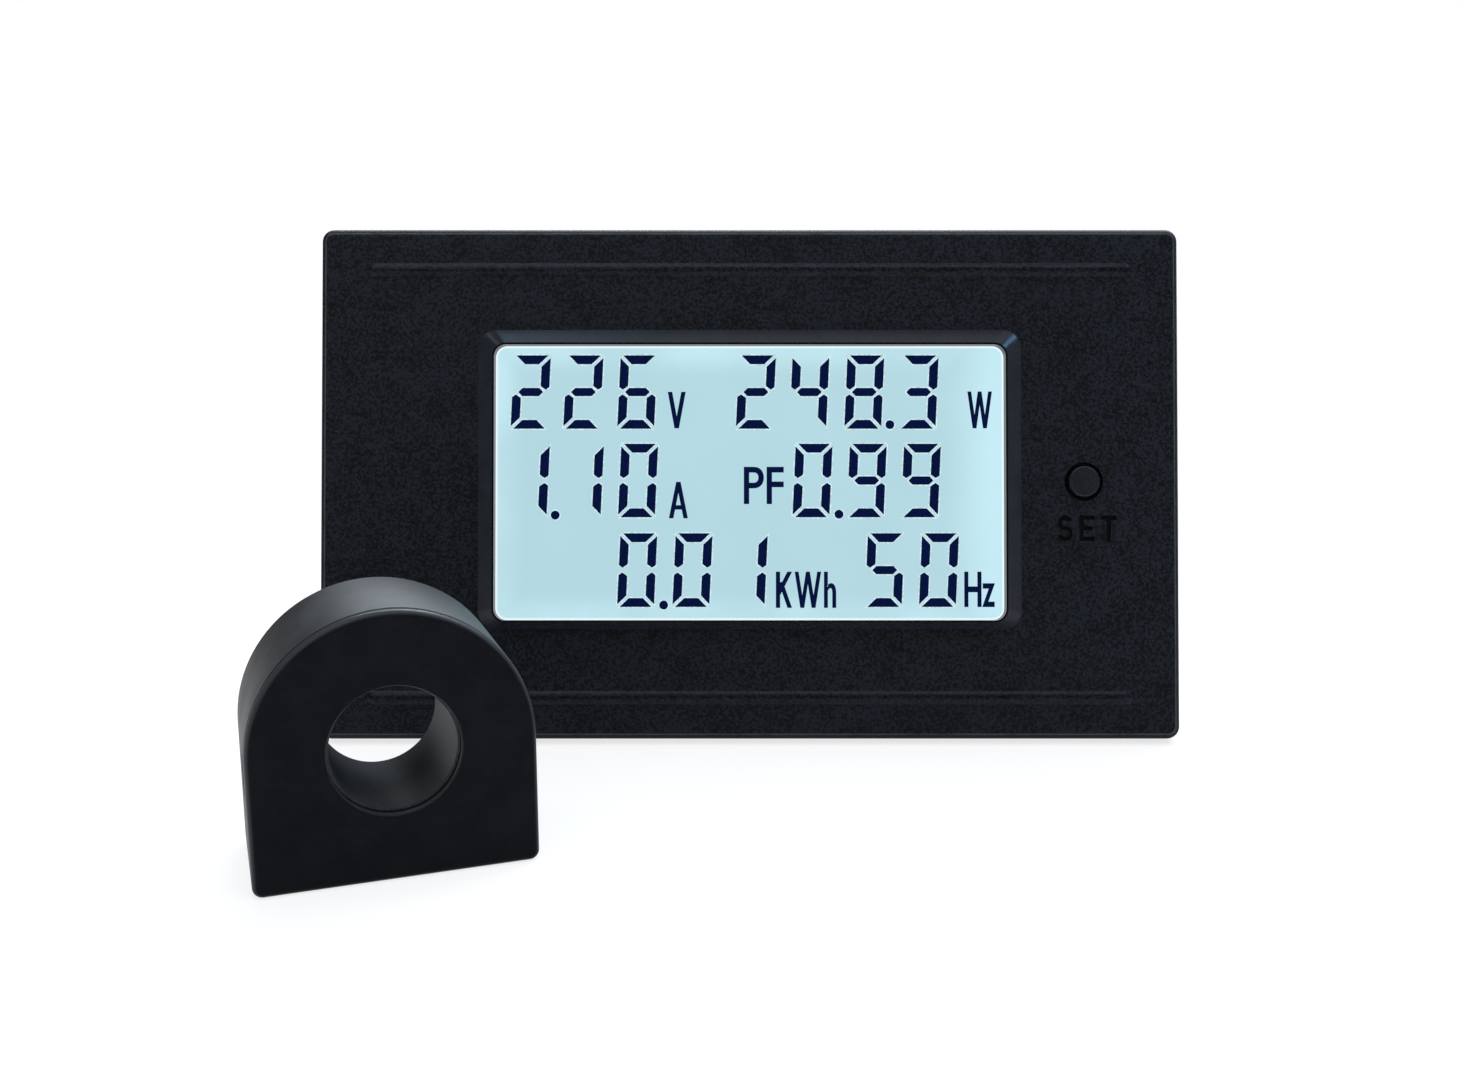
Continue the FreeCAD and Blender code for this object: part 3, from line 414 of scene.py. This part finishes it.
finishes = {
    "bezel_plastic": (bezelFinish, {
        "color": (0.0036, 0.0048, 0.0075), "dark": 0.3, "light": 1.95, "grainSize": 0.29,
        # the frame's colour is lighter than the face's, a painted sheen
        "cloudSize": 2.6, "grainDepth": 0.016, "roughness": 0.6, "frameColor": (0.0122, 0.0143, 0.0190),
        "frameRoughness": 0.22,
        "frame": {"width": 53.4, "height": 29.44, "corner": 1.8, "middle": 0.38}, "edgeSoft": 0.04,
        # the edge line's colour is a painted highlight
        "wornFrom": (-2.968, -2.94), "wornTo": (-2.9, -2.87), "wornColor": (0.036, 0.039, 0.045),
        "ribFrom": (-3.06, -3.01), "edgeRoughness": 0.36,
        "lip": {"width": 50.3, "height": 27.28, "corner": 1.3, "middle": 0.02},
        "wordBox": (29.9, 36.4, -5.8, -3.0), "wordDepth": (-3.0, -2.97),
        "blackColor": (0.0002, 0.0003, 0.001), "specular": 0.13, "cloudShare": 0.2, "grainShare": 0.8,
        "tone": (0.4, 0.6), "wornPatches": (0.1, 0.55), "framePatches": (0.35, 0.65),
        "frameTone": (0.92, 1.1), "roughnessSpread": 0.1, "smoothing": 0.8, "bumpStrength": 0.6,
        "grainRoughness": 0.6,
    }),
    "case_plastic": (mouldedPlastic, {
        "color": (0.0078, 0.0088, 0.0112), "grainSize": 0.3, "grainDepth": 0.015, "roughness": 0.58,
        "specular": 0.2,
    }),
    "latch_plastic": (mouldedPlastic, {
        "color": (0.009, 0.010, 0.0125), "grainSize": 0.5, "grainDepth": 0.006, "roughness": 0.42,
        "specular": 0.3,
    }),
    "button_plastic": (mouldedPlastic, {
        "color": (0.0078, 0.0093, 0.0125), "grainSize": 0.3, "grainDepth": 0.008, "roughness": 0.32,
        "dark": 0.8, "light": 1.4, "specular": 0.2,
    }),
    "sensor_plastic": (glossPlastic, {
        "color": (0.0042, 0.0048, 0.0068), "waveSize": 2.5, "smearSize": 4.0, "grainSize": 0.25,
        "grainDepth": 0.006, "roughness": 0.5, "roughnessSpread": 0.08, "specular": 0.5,
    }),
    "display_glass": (clearSheet, {
        "color": (0.62, 0.82, 0.86), "roughness": 0.04, "ior": 1.5, "dustSize": 2.0,
    }),
    "polarizer_film": (clearSheet, {
        "color": (0.55, 0.78, 0.84), "roughness": 0.1, "ior": 1.45, "dustSize": 2.0,
    }),
    "rear_film": (clearSheet, {
        "color": (0.6, 0.82, 0.88), "roughness": 0.12, "ior": 1.45, "dustSize": 2.0,
    }),
    "diffuser_film": (mouldedPlastic, {
        "color": (0.78, 0.9, 0.93), "grainSize": 0.1, "grainDepth": 0.004, "roughness": 0.6,
        "dark": 0.95, "light": 1.0,
    }),
    "guide_acrylic": (clearSheet, {
        "color": (0.85, 0.95, 0.97), "roughness": 0.05, "ior": 1.49, "dustSize": 3.0,
    }),
    "reflector_film": (glossPlastic, {
        "color": (0.85, 0.88, 0.9), "waveSize": 4.0, "smearSize": 5.0, "light": 1.05, "grainSize": 0.5,
        "grainDepth": 0.005, "roughness": 0.25, "roughnessSpread": 0.1,
    }),
    "tray_plastic": (mouldedPlastic, {
        "color": (0.78, 0.79, 0.79), "grainSize": 0.3, "grainDepth": 0.008, "roughness": 0.45,
        "dark": 0.93, "light": 1.05,
    }),
    "lamp_resin": (glossPlastic, {
        "color": (0.85, 0.78, 0.42), "waveSize": 1.0, "smearSize": 1.0, "light": 1.1, "grainSize": 0.2,
        "grainDepth": 0.004, "roughness": 0.2, "roughnessSpread": 0.1,
    }),
    "tinned_metal": (metalFinish, {
        "color": (0.7, 0.7, 0.72), "lineSize": 0.15, "spotSize": 0.6, "lineDepth": 0.004,
        "roughness": 0.22, "roughnessSpread": 0.2, "dark": 0.75,
    }),
    "screw_steel": (metalFinish, {
        "color": (0.5, 0.5, 0.53), "lineSize": 0.12, "spotSize": 1.2, "lineDepth": 0.006,
        "roughness": 0.24, "roughnessSpread": 0.2,
    }),
    "crystal_can": (metalFinish, {
        "color": (0.75, 0.75, 0.77), "lineSize": 0.3, "spotSize": 1.5, "lineDepth": 0.004,
        "roughness": 0.16, "roughnessSpread": 0.15,
    }),
    "gold_pins": (metalFinish, {
        "color": (0.85, 0.6, 0.2), "lineSize": 0.15, "spotSize": 0.5, "lineDepth": 0.003,
        "roughness": 0.18, "roughnessSpread": 0.15,
    }),
    "contact_brass": (metalFinish, {
        "color": (0.78, 0.66, 0.42), "lineSize": 0.2, "spotSize": 1.0, "lineDepth": 0.005,
        "roughness": 0.25, "roughnessSpread": 0.2, "dark": 0.82,
    }),
    "clamp_steel": (metalFinish, {
        "color": (0.6, 0.57, 0.45), "lineSize": 0.2, "spotSize": 1.2, "lineDepth": 0.006,
        "roughness": 0.28, "roughnessSpread": 0.2,
    }),
    "core_steel": (metalFinish, {
        "color": (0.35, 0.35, 0.37), "lineSize": 0.2, "spotSize": 2.0, "lineDepth": 0.01,
        "roughness": 0.35, "roughnessSpread": 0.2,
    }),
    "coil_copper": (metalFinish, {
        "color": (0.7, 0.27, 0.1), "lineSize": 0.3, "spotSize": 1.5, "lineDepth": 0.03,
        "roughness": 0.25, "roughnessSpread": 0.2,
    }),
    "chip_resin": (mouldedPlastic, {
        "color": (0.016, 0.016, 0.018), "grainSize": 0.12, "grainDepth": 0.006, "roughness": 0.5,
    }),
    "header_plastic": (mouldedPlastic, {
        "color": (0.015, 0.015, 0.016), "grainSize": 0.2, "grainDepth": 0.005, "roughness": 0.42,
    }),
    "board_laminate": (glossPlastic, {
        "color": (0.01, 0.085, 0.03), "waveSize": 0.9, "smearSize": 3.0, "grainSize": 0.35,
        "grainDepth": 0.01, "roughness": 0.3, "roughnessSpread": 0.12,
    }),
    "film_box": (mouldedPlastic, {
        "color": (0.72, 0.5, 0.07), "grainSize": 0.3, "grainDepth": 0.006, "roughness": 0.4,
        "dark": 0.9, "light": 1.1,
    }),
    "can_sleeve": (glossPlastic, {
        "color": (0.018, 0.028, 0.09), "waveSize": 2.0, "smearSize": 2.0, "grainSize": 0.4,
        "grainDepth": 0.006, "roughness": 0.22, "roughnessSpread": 0.1,
    }),
    "disc_resin": (glossPlastic, {
        "color": (0.03, 0.1, 0.4), "waveSize": 1.0, "smearSize": 1.5, "grainSize": 0.3,
        "grainDepth": 0.02, "roughness": 0.28, "roughnessSpread": 0.1,
    }),
    "resistor_coat": (mouldedPlastic, {
        "color": (0.22, 0.42, 0.52), "grainSize": 0.2, "grainDepth": 0.01, "roughness": 0.4,
        "dark": 0.9, "light": 1.1,
    }),
    "block_plastic": (mouldedPlastic, {
        "color": (0.02, 0.16, 0.06), "grainSize": 0.25, "grainDepth": 0.008, "roughness": 0.42,
        "dark": 0.85, "light": 1.15,
    }),
    "potting_resin": (glossPlastic, {
        "color": (0.02, 0.02, 0.022), "waveSize": 2.0, "smearSize": 3.0, "grainSize": 0.6,
        "grainDepth": 0.02, "roughness": 0.3, "roughnessSpread": 0.15,
    }),
    "grommet_rubber": (mouldedPlastic, {
        "color": (0.014, 0.014, 0.015), "grainSize": 0.2, "grainDepth": 0.01, "roughness": 0.7,
        "specular": 0.25,
    }),
}

slotOf = {part["node"]: part["material_slot"] for part in frame["record"]["subparts"]}
made = {}
for slot in sorted(set(slotOf.values())):
    maker, look = finishes[slot]
    made[slot] = maker(slot + "_finish", look)
for node, piece in frame["nodes"].items():
    dress(piece, made[slotOf[node]])

coverLook = {
    # the edge colour is a painted highlight
    "color": (0.0035, 0.0043, 0.006), "edgeColor": (0.026, 0.028, 0.032), "edgeFrom": (0.03, 0.2),
    "edgeTo": (0.5, 0.7), "roughness": 0.6, "edgeShine": 0.3, "grainSize": 0.3, "cloudSize": 2.5,
    "grainDepth": 0.008, "specular": 0.06, "tone": (0.35, 0.65), "dark": 0.8, "light": 1.25,
    "roughnessSpread": 0.1, "bumpStrength": 0.5, "grainRoughness": 0.6, "grainShare": 0.5,
    "cloudShare": 0.5,
}
dress(frame["nodes"]["sensor_cover"], coverFinish("sensor_cover_finish", coverLook))
sleeveLook = {
    "color": (0.032, 0.033, 0.037), "grainSize": 0.3, "grainDepth": 0.008, "roughness": 0.52,
    "specular": 0.16,
}
dress(frame["nodes"]["sensor_sleeve"], mouldedPlastic("sensor_sleeve_finish", sleeveLook))
print("finishes:", len(made))


# the lit display
displayLook = {
    "width": 49.94, "height": 26.92, "middleZ": 0.02, "corner": 1.13, "front": -3.05, "thick": 0.2,
    "cell": (0.43, 0.655, 0.72), "pale": (0.56, 0.83, 0.915), "rim": (0.88, 0.97, 1.0),
    "rimWidth": (0.06, 0.28), "paleWidth": (0.25, 3.2), "rightWidth": (0.5, 6.5), "cloudSize": 9.0,
    "clouds": (0.3, 0.7), "edgeGlow": 0.35, "edgeClouds": 0.4, "rightGlow": 0.85, "cloudGlow": 0.12,
    "unlit": (0.02, 0.026, 0.03), "grainSize": 1.5, "roughness": 0.3, "roughnessSpread": 0.1,
    "specular": 0.2, "lightStrength": 1.0, "cornerSteps": 8,
}


def litScreen(look):
    material, wires, place = newMaterial("display_light")
    x, into, z = meterAxes(place)
    z = z - look["middleZ"]
    depth = depthInside(wires, x, z, look["width"], look["height"], look["corner"])
    rim = 1 - depth.rise(*look["rimWidth"])
    pale = 1 - depth.rise(*look["paleWidth"])
    right = 1 - (look["width"] / 2 - x).rise(*look["rightWidth"])
    cloud = place.noise(look["cloudSize"], 2.0).rise(*look["clouds"])
    edge = pale * (cloud * look["edgeClouds"] + look["edgeGlow"])
    glow = wires.maths("MAXIMUM", edge, right * look["rightGlow"]) + cloud * look["cloudGlow"]
    color = glow.blend(rgba(look["cell"]), rgba(look["pale"]))
    color = rim.blend(color, rgba(look["rim"]))
    rough = place.noise(look["grainSize"]) * look["roughnessSpread"] + look["roughness"]
    surface(wires, {
        "Base Color": rgba(look["unlit"]), "Roughness": rough, "Emission Color": color,
        "Emission Strength": look["lightStrength"], "Specular IOR Level": look["specular"],
    })
    return material


screenPlace = (0, displayLook["front"], displayLook["middleZ"])
screen = flatPlate("displayScreen", screenPlace, displayLook["width"], displayLook["height"])
roundCorners(screen, displayLook["corner"], displayLook["cornerSteps"])
thicken(screen, displayLook["thick"])
standIn(screen, meterPlace)
dress(screen, litScreen(displayLook))
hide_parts("front_polarizer")
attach(screen, "meter")

# seven bars to a figure, leaning a little, with pointed ends and even gaps
figureLook = {
    "width": 3.63, "height": 7.23, "stroke": 0.873, "middleStroke": 0.813, "cornerGap": 0.248,
    "tipGap": 0.228, "middleTip": 0.585, "tipSlope": 0.7, "tipShare": 0.42, "leanDegrees": 2.6,
    "cornerRound": 0.06, "haloRound": 0.4, "roundSteps": 2, "thick": 0.02, "front": -3.08,
    "dotRadius": 0.437, "dotSides": 28, "haloGrow": 0.12, "haloFront": -3.06, "strokeStep": 0.001,
    "ink": (0.0012, 0.0058, 0.042), "inkUnlit": 0.2, "halo": (0.68, 0.9, 0.96), "haloUnlit": 0.03,
}
barsLit = {
    "0": "abcdef", "1": "bc", "2": "abged", "3": "abgcd", "4": "fgbc", "5": "afgcd", "6": "afgedc",
    "8": "abcdefg", "9": "abcdfg",
}
# every figure's left foot and baseline, then the dots
figures = [
    ("2", -23.52, 5.35), ("2", -18.34, 5.35), ("6", -13.03, 5.35),
    ("2", -1.37, 5.35), ("4", 3.89, 5.35), ("8", 9.29, 5.35), ("3", 14.64, 5.35),
    ("1", -23.59, -3.36), ("1", -18.28, -3.36), ("0", -12.95, -3.36),
    ("0", 4.19, -3.36), ("9", 9.52, -3.36), ("9", 14.84, -3.36),
    ("0", -13.03, -12.16), ("0", -7.6, -12.16), ("1", -2.18, -12.16),
    ("5", 11.27, -12.16), ("0", 16.59, -12.16),
]
dots = [(13.78, 5.75), (-19.11, -3.15), (8.76, -3.06), (-8.45, -11.97)]
# the units' letters: their box, then how much they are fattened, or the stroke of slanted ones
words = [
    ("PF", -0.58, 3.34, -2.06, 1.6, 0.05), ("h", 7.28, 8.48, -12.25, -8.7, 0.065),
    ("Hz", 21.05, 24.03, -12.17, -8.7, 0.07),
]
slanted = [
    ("V", -8.06, -6.3, 5.39, 8.98, 0.43), ("W", 21.41, 23.82, 5.39, 9.02, 0.37),
    ("A", -7.94, -6.08, -3.46, 0.12, 0.43), ("K", 2.56, 4.13, -12.25, -8.7, 0.42),
    ("W", 4.41, 7.0, -12.25, -8.7, 0.38),
]
# strokes of the slanted letters, from one end to the other, in shares of the letter's box
strokes = {
    "V": [(0, 1, 0.5, 0), (1, 1, 0.5, 0)],
    "W": [(0, 1, 0.25, 0), (0.5, 1, 0.25, 0), (0.5, 1, 0.75, 0), (1, 1, 0.75, 0)],
    "A": [(0, 0, 0.5, 1), (1, 0, 0.5, 1), (0.16, 0.3, 0.84, 0.3)],
    "K": [(0, 0, 0, 1), (0, 0.36, 1, 1), (0.36, 0.6, 1, 0)],
}


def barShapes(look):
    wide, high, stroke, gap = look["width"], look["height"], look["stroke"], look["cornerGap"]
    middle = high / 2
    half = look["middleStroke"] / 2
    tip = (look["tipShare"] * stroke, middle + look["tipGap"])
    slope = look["tipSlope"]
    top = ((0, wide, high - stroke, high), [((gap, high), (-1, -1)), ((wide - gap, high), (1, -1))])
    side = ((0, stroke, middle, high), [((0, high - gap), (1, 1)), (tip, (slope, -1)), (tip, (-slope, -1))])
    left = look["middleTip"]
    right = wide - left
    bar = ((left, right, middle - half, middle + half), [
        ((left, middle), (-1, 1)), ((left, middle), (-1, -1)),
        ((right, middle), (1, 1)), ((right, middle), (1, -1)),
    ])

    def acrossMiddle(shape):
        (u0, u1, v0, v1), cuts = shape
        return (wide - u1, wide - u0, v0, v1), [((wide - u, v), (-n, k)) for (u, v), (n, k) in cuts]

    def upsideDown(shape):
        (u0, u1, v0, v1), cuts = shape
        return (u0, u1, high - v1, high - v0), [((u, high - v), (n, -k)) for (u, v), (n, k) in cuts]

    return {
        "a": top, "f": side, "g": bar, "b": acrossMiddle(side), "d": upsideDown(top),
        "e": upsideDown(side), "c": upsideDown(acrossMiddle(side)),
    }


def makeBars(look, grow, front):
    bars = {}
    for letter, ((u0, u1, v0, v1), cuts) in barShapes(look).items():
        centre = ((u0 + u1) / 2, front, (v0 + v1) / 2)
        bar = flatPlate("bar" + letter, centre, u1 - u0 + 2 * grow, v1 - v0 + 2 * grow)
        for (u, v), (n, k) in cuts:
            length = math.hypot(n, k)
            point = (u + grow * n / length, front, v + grow * k / length)
            cutAway(bar, point, (n, 0, k))
        roundCorners(bar, look["cornerRound"] + grow * look["haloRound"], look["roundSteps"])
        thicken(bar, look["thick"])
        bars[letter] = bar
    return bars


def makeFigures(look, grow, front, name):
    bars = makeBars(look, grow, front)
    slant = Matrix.Identity(4)
    slant[0][2] = math.tan(math.radians(look["leanDegrees"]))
    pieces = []
    for figure, x, z in figures:
        for letter in barsLit[figure]:
            bar = copyOf(bars[letter], name + "Bar")
            bar.data.transform(Matrix.Translation((x, 0, z)) @ slant)
            pieces.append(bar)
    for x, z in dots:
        bpy.ops.object.select_all(action="DESELECT")
        bpy.ops.mesh.primitive_circle_add(
            vertices=look["dotSides"], radius=look["dotRadius"] + grow, fill_type="NGON",
            location=(x, front, z), rotation=(math.pi / 2, 0, 0),
        )
        dot = namedPiece(name + "Dot")
        bpy.ops.object.transform_apply(location=True, rotation=True, scale=True)
        thicken(dot, look["thick"])
        pieces.append(dot)
    for bar in bars.values():
        bpy.data.objects.remove(bar)
    return pieces


def strokeLetter(letter, x0, x1, z0, z1, weight, look):
    # slanted letters are drawn with even strokes and cut off level at top and foot
    front = look["front"]
    low, wide, high = x0 + weight / 2, x1 - x0 - weight, z1 - z0
    pieces = []
    for count, (u0, v0, u1, v1) in enumerate(strokes[letter]):
        middle = Vector((low + (u0 + u1) / 2 * wide, 0, z0 + (v0 + v1) / 2 * high))
        run = Vector(((u1 - u0) * wide, 0, (v1 - v0) * high))
        level = v0 == v1
        plate = flatPlate("stroke" + letter, (0, 0, 0), run.length + (0 if level else 2 * weight), weight)
        turn = Matrix.Rotation(-math.atan2(run.z, run.x), 4, "Y")
        depth = front - count * look["strokeStep"]
        plate.data.transform(Matrix.Translation(middle + Vector((0, depth, 0))) @ turn)
        for point, outward in (
            ((0, depth, z1), (0, 0, 1)), ((0, depth, z0), (0, 0, -1)),
            ((x0, depth, 0), (-1, 0, 0)), ((x1, depth, 0), (1, 0, 0)),
        ):
            cutAway(plate, point, outward)
        thicken(plate, look["thick"])
        pieces.append(plate)
    return pieces


letterSteps = 6


def wordShape(word, wide, high, weight, thick):
    # a word as thin solid letters of this height, standing up and facing the viewer;
    # a width of 0 leaves the letters their own
    bpy.ops.object.select_all(action="DESELECT")
    bpy.ops.object.text_add(location=(0, 0, 0))
    bpy.context.object.data.body = word
    bpy.ops.object.convert(target="CURVE")
    curve = bpy.context.object.data
    spots = [point.co.copy() for spline in curve.splines for point in spline.bezier_points]
    lowX, highX = min(spot.x for spot in spots), max(spot.x for spot in spots)
    lowY, highY = min(spot.y for spot in spots), max(spot.y for spot in spots)
    up = (high - 2 * weight) / (highY - lowY)
    across = (wide - 2 * weight) / (highX - lowX) if wide else up
    curve.transform(Matrix.Diagonal((across, up, 1, 1)) @ Matrix.Translation((-lowX, -lowY, 0)))
    curve.resolution_u = letterSteps
    curve.offset = weight
    bpy.ops.object.convert(target="MESH")
    piece = namedPiece("word" + word)
    upright = Matrix.Rotation(math.pi / 2, 4, "X")
    piece.data.transform(Matrix.Translation((weight, 0, weight)) @ upright)
    thicken(piece, thick)
    return piece


def letters(word, x0, x1, z0, z1, weight, look):
    piece = wordShape(word, x1 - x0, z1 - z0, weight, look["thick"])
    piece.data.transform(Matrix.Translation((x0, look["front"], z0)))
    return piece


inkLook = {
    "speckSize": 0.25, "specks": (0.35, 0.65), "speckShade": 0.7, "roughness": 0.45, "speckDullness": 0.1,
    "specular": 0.02,
}


def inkMaterial(name, color, unlit, look):
    # ink swallows the light from behind, and a little of it glows through
    material, wires, place = newMaterial(name)
    speck = place.noise(look["speckSize"], 2.0).rise(*look["specks"])
    ink = speck.blend(rgba(color), rgba(color, look["speckShade"]))
    dull = speck.blend(rgba(color, unlit), rgba(color, unlit * look["speckShade"]))
    rough = speck * look["speckDullness"] + look["roughness"]
    surface(wires, {
        "Base Color": dull, "Roughness": rough, "Specular IOR Level": look["specular"],
        "Emission Color": ink, "Emission Strength": 1.0,
    })
    return material


def displayPiece(pieces, name, material):
    piece = joinAll(pieces, name)
    standIn(piece, meterPlace)
    dress(piece, material)
    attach(piece, "meter")


halos = makeFigures(figureLook, figureLook["haloGrow"], figureLook["haloFront"], "halo")
haloInk = inkMaterial("display_halo", figureLook["halo"], figureLook["haloUnlit"], inkLook)
displayPiece(halos, "displayHalos", haloInk)
inked = makeFigures(figureLook, 0.0, figureLook["front"], "figure")
inked += [letters(*word, figureLook) for word in words]
for letter in slanted:
    inked += strokeLetter(*letter, figureLook)
figureInk = inkMaterial("display_ink", figureLook["ink"], figureLook["inkUnlit"], inkLook)
displayPiece(inked, "displayFigures", figureInk)
print("display figures done")

# printed pole numbers on the back, over the wire opening, read from behind
poleLook = {
    "poles": 4, "pitch": 7.62, "back": 21.4, "foot": 8.2, "high": 2.8, "weight": 0.05, "proud": 0.03,
    "color": (0.5, 0.51, 0.52), "grainSize": 0.2, "grainDepth": 0.003, "roughness": 0.5, "dark": 0.8,
    "light": 1.05,
}


def makePoleNumbers(look):
    pieces = []
    middle = (look["poles"] - 1) / 2
    for pole in range(look["poles"]):
        number = wordShape(str(pole + 1), 0, look["high"], look["weight"], look["proud"] * 2)
        x = (middle - pole) * look["pitch"] + max(corner.co.x for corner in number.data.vertices) / 2
        place = Matrix.Translation((x, look["back"] + look["proud"], look["foot"]))
        number.data.transform(place @ Matrix.Rotation(math.pi, 4, "Z"))
        pieces.append(number)
    piece = standIn(joinAll(pieces, "poleNumbers"), meterPlace)
    dress(piece, mouldedPlastic("pole_print", look))
    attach(piece, "meter")


makePoleNumbers(poleLook)
print("pole numbers done")


# table, backdrop, lamps and camera
studio = {
    "floorSize": 6.0, "floorColor": (0.93, 0.93, 0.93), "floorShadow": 0.25, "shadowReach": (60.0, 150.0),
    "worldDiffuse": 0.5, "worldFront": 0.1, "worldBack": 0.8, "worldLeft": 0.04, "backFrom": (-0.5, 0.6),
    "rightFrom": (-0.45, 0.0),
}


def raysOf(wires, *kinds):
    # 1 for rays of these kinds, 0 for the others
    found = 0.0
    for kind in kinds:
        found = wires.maths("MAXIMUM", wires.add("LightPath", {}, {}, kind), found)
    return found


def makeFloor(look):
    bpy.ops.object.select_all(action="DESELECT")
    bpy.ops.mesh.primitive_plane_add(size=look["floorSize"], location=(0, 0, 0))
    floor = namedPiece("tableTop")
    material, wires, place = newMaterial("table_white")
    tree = wires.tree
    x, y = place.along((1, 0, 0)), place.along((0, 1, 0))
    reach = wires.maths("SQRT", x * x + y * y).rise(*look["shadowReach"])
    paint = wires.add("BsdfDiffuse", {}, {"Color": rgba(look["floorColor"])}, "BSDF")
    glow = wires.add("Emission", {}, {"Color": (1, 1, 1, 1), "Strength": 1.0}, "Emission")
    seen = raysOf(wires, "Is Camera Ray", "Is Glossy Ray", "Is Transmission Ray")
    share = seen * (1 - (1 - reach) * look["floorShadow"])
    mixed = wires.add("MixShader", {}, {0: share, 1: paint, 2: glow}, 0)
    output = tree.nodes.new("ShaderNodeOutputMaterial")
    tree.links.new(mixed.socket, output.inputs["Surface"])
    dress(floor, material)


def makeWorld(look):
    world = bpy.data.worlds.new("studioWorld")
    bpy.context.scene.world = world
    world.use_nodes = True
    tree = world.node_tree
    tree.nodes.clear()
    wires = Wire(tree)
    way = wires.add("TexCoord", {}, {}, "Generated")
    camera = raysOf(wires, "Is Camera Ray")
    glossy = raysOf(wires, "Is Glossy Ray", "Is Transmission Ray")
    behind = way.add("VectorMath", {"operation": "DOT_PRODUCT"}, {0: way, 1: (0, 1, 0)}, "Value")
    right = way.add("VectorMath", {"operation": "DOT_PRODUCT"}, {0: way, 1: (1, 0, 0)}, "Value")
    # what reflections see: bright behind the object, dark in front of it and behind it on the left
    back = right.rise(*look["rightFrom"]) * (look["worldBack"] - look["worldLeft"]) + look["worldLeft"]
    seen = behind.rise(*look["backFrom"]) * (back - look["worldFront"]) + look["worldFront"]
    strength = glossy * (seen - look["worldDiffuse"]) + look["worldDiffuse"]
    strength = camera * (1 - strength) + strength
    background = wires.add("Background", {}, {"Color": (1, 1, 1, 1), "Strength": strength}, "Background")
    output = tree.nodes.new("ShaderNodeOutputWorld")
    tree.links.new(background.socket, output.inputs["Surface"])


# every lamp's place, what it is aimed at, its size, power and colour
middle = (0, 0, 0.02)
lamps = {
    "topSoftbox": ((0.08, -0.02, 0.46), middle, (0.7, 0.5), 0.9, (0.9, 0.95, 1.0)),
    "backSoftbox": ((0.16, 0.34, 0.46), middle, (0.5, 0.35), 4.2, (0.9, 0.95, 1.0)),
    "sheenLamp": ((-0.09, 0.4, 0.4), (-0.03, -0.02, 0.02), (0.3, 0.1), 2.0, (0.82, 0.93, 1.0)),
    "stripLamp": ((-0.05, -0.12, 0.42), middle, (0.6, 0.04), 0.5, (1.0, 0.99, 0.97)),
    "rightWindow": ((0.352, -0.005, 0.35), middle, (0.08, 0.08), 0.4, (0.22, 0.55, 1.0)),
    "leftWindow": ((-0.078, 0.07, 0.4), middle, (0.03, 0.2), 0.12, (0.35, 0.65, 1.0)),
    "frontFill": ((-0.3, -0.45, 0.5), middle, (0.4, 0.3), 0.8, (1, 1, 1)),
}


def areaLamp(name, place, aim, size, power, color):
    data = bpy.data.lights.new(name, "AREA")
    data.shape = "RECTANGLE"
    data.size, data.size_y = size
    data.energy = power
    data.color = color
    lamp = bpy.data.objects.new(name, data)
    bpy.context.scene.collection.objects.link(lamp)
    lamp.location = place
    lamp.rotation_euler = (Vector(aim) - Vector(place)).to_track_quat("-Z", "Y").to_euler()


cameraLook = {
    "focal": 36.3786, "sensor": 36.0, "place": (-0.00184189, -0.13747758, 0.04872065),
    "pitchDegrees": 78.5606, "nearest": 0.005, "furthest": 20,
}


def makeCamera(look):
    data = bpy.data.cameras.new("photoCamera")
    data.sensor_width = look["sensor"]
    data.sensor_fit = "HORIZONTAL"
    data.lens = look["focal"]
    data.clip_start = look["nearest"]
    data.clip_end = look["furthest"]
    camera = bpy.data.objects.new("photoCamera", data)
    bpy.context.scene.collection.objects.link(camera)
    camera.location = look["place"]
    camera.rotation_euler = (math.radians(look["pitchDegrees"]), 0, 0)
    bpy.context.scene.camera = camera


makeFloor(studio)
makeWorld(studio)
makeCamera(cameraLook)
for name, look in lamps.items():
    areaLamp(name, *look)
bpy.context.scene.view_settings.view_transform = "Standard"
print("studio done")
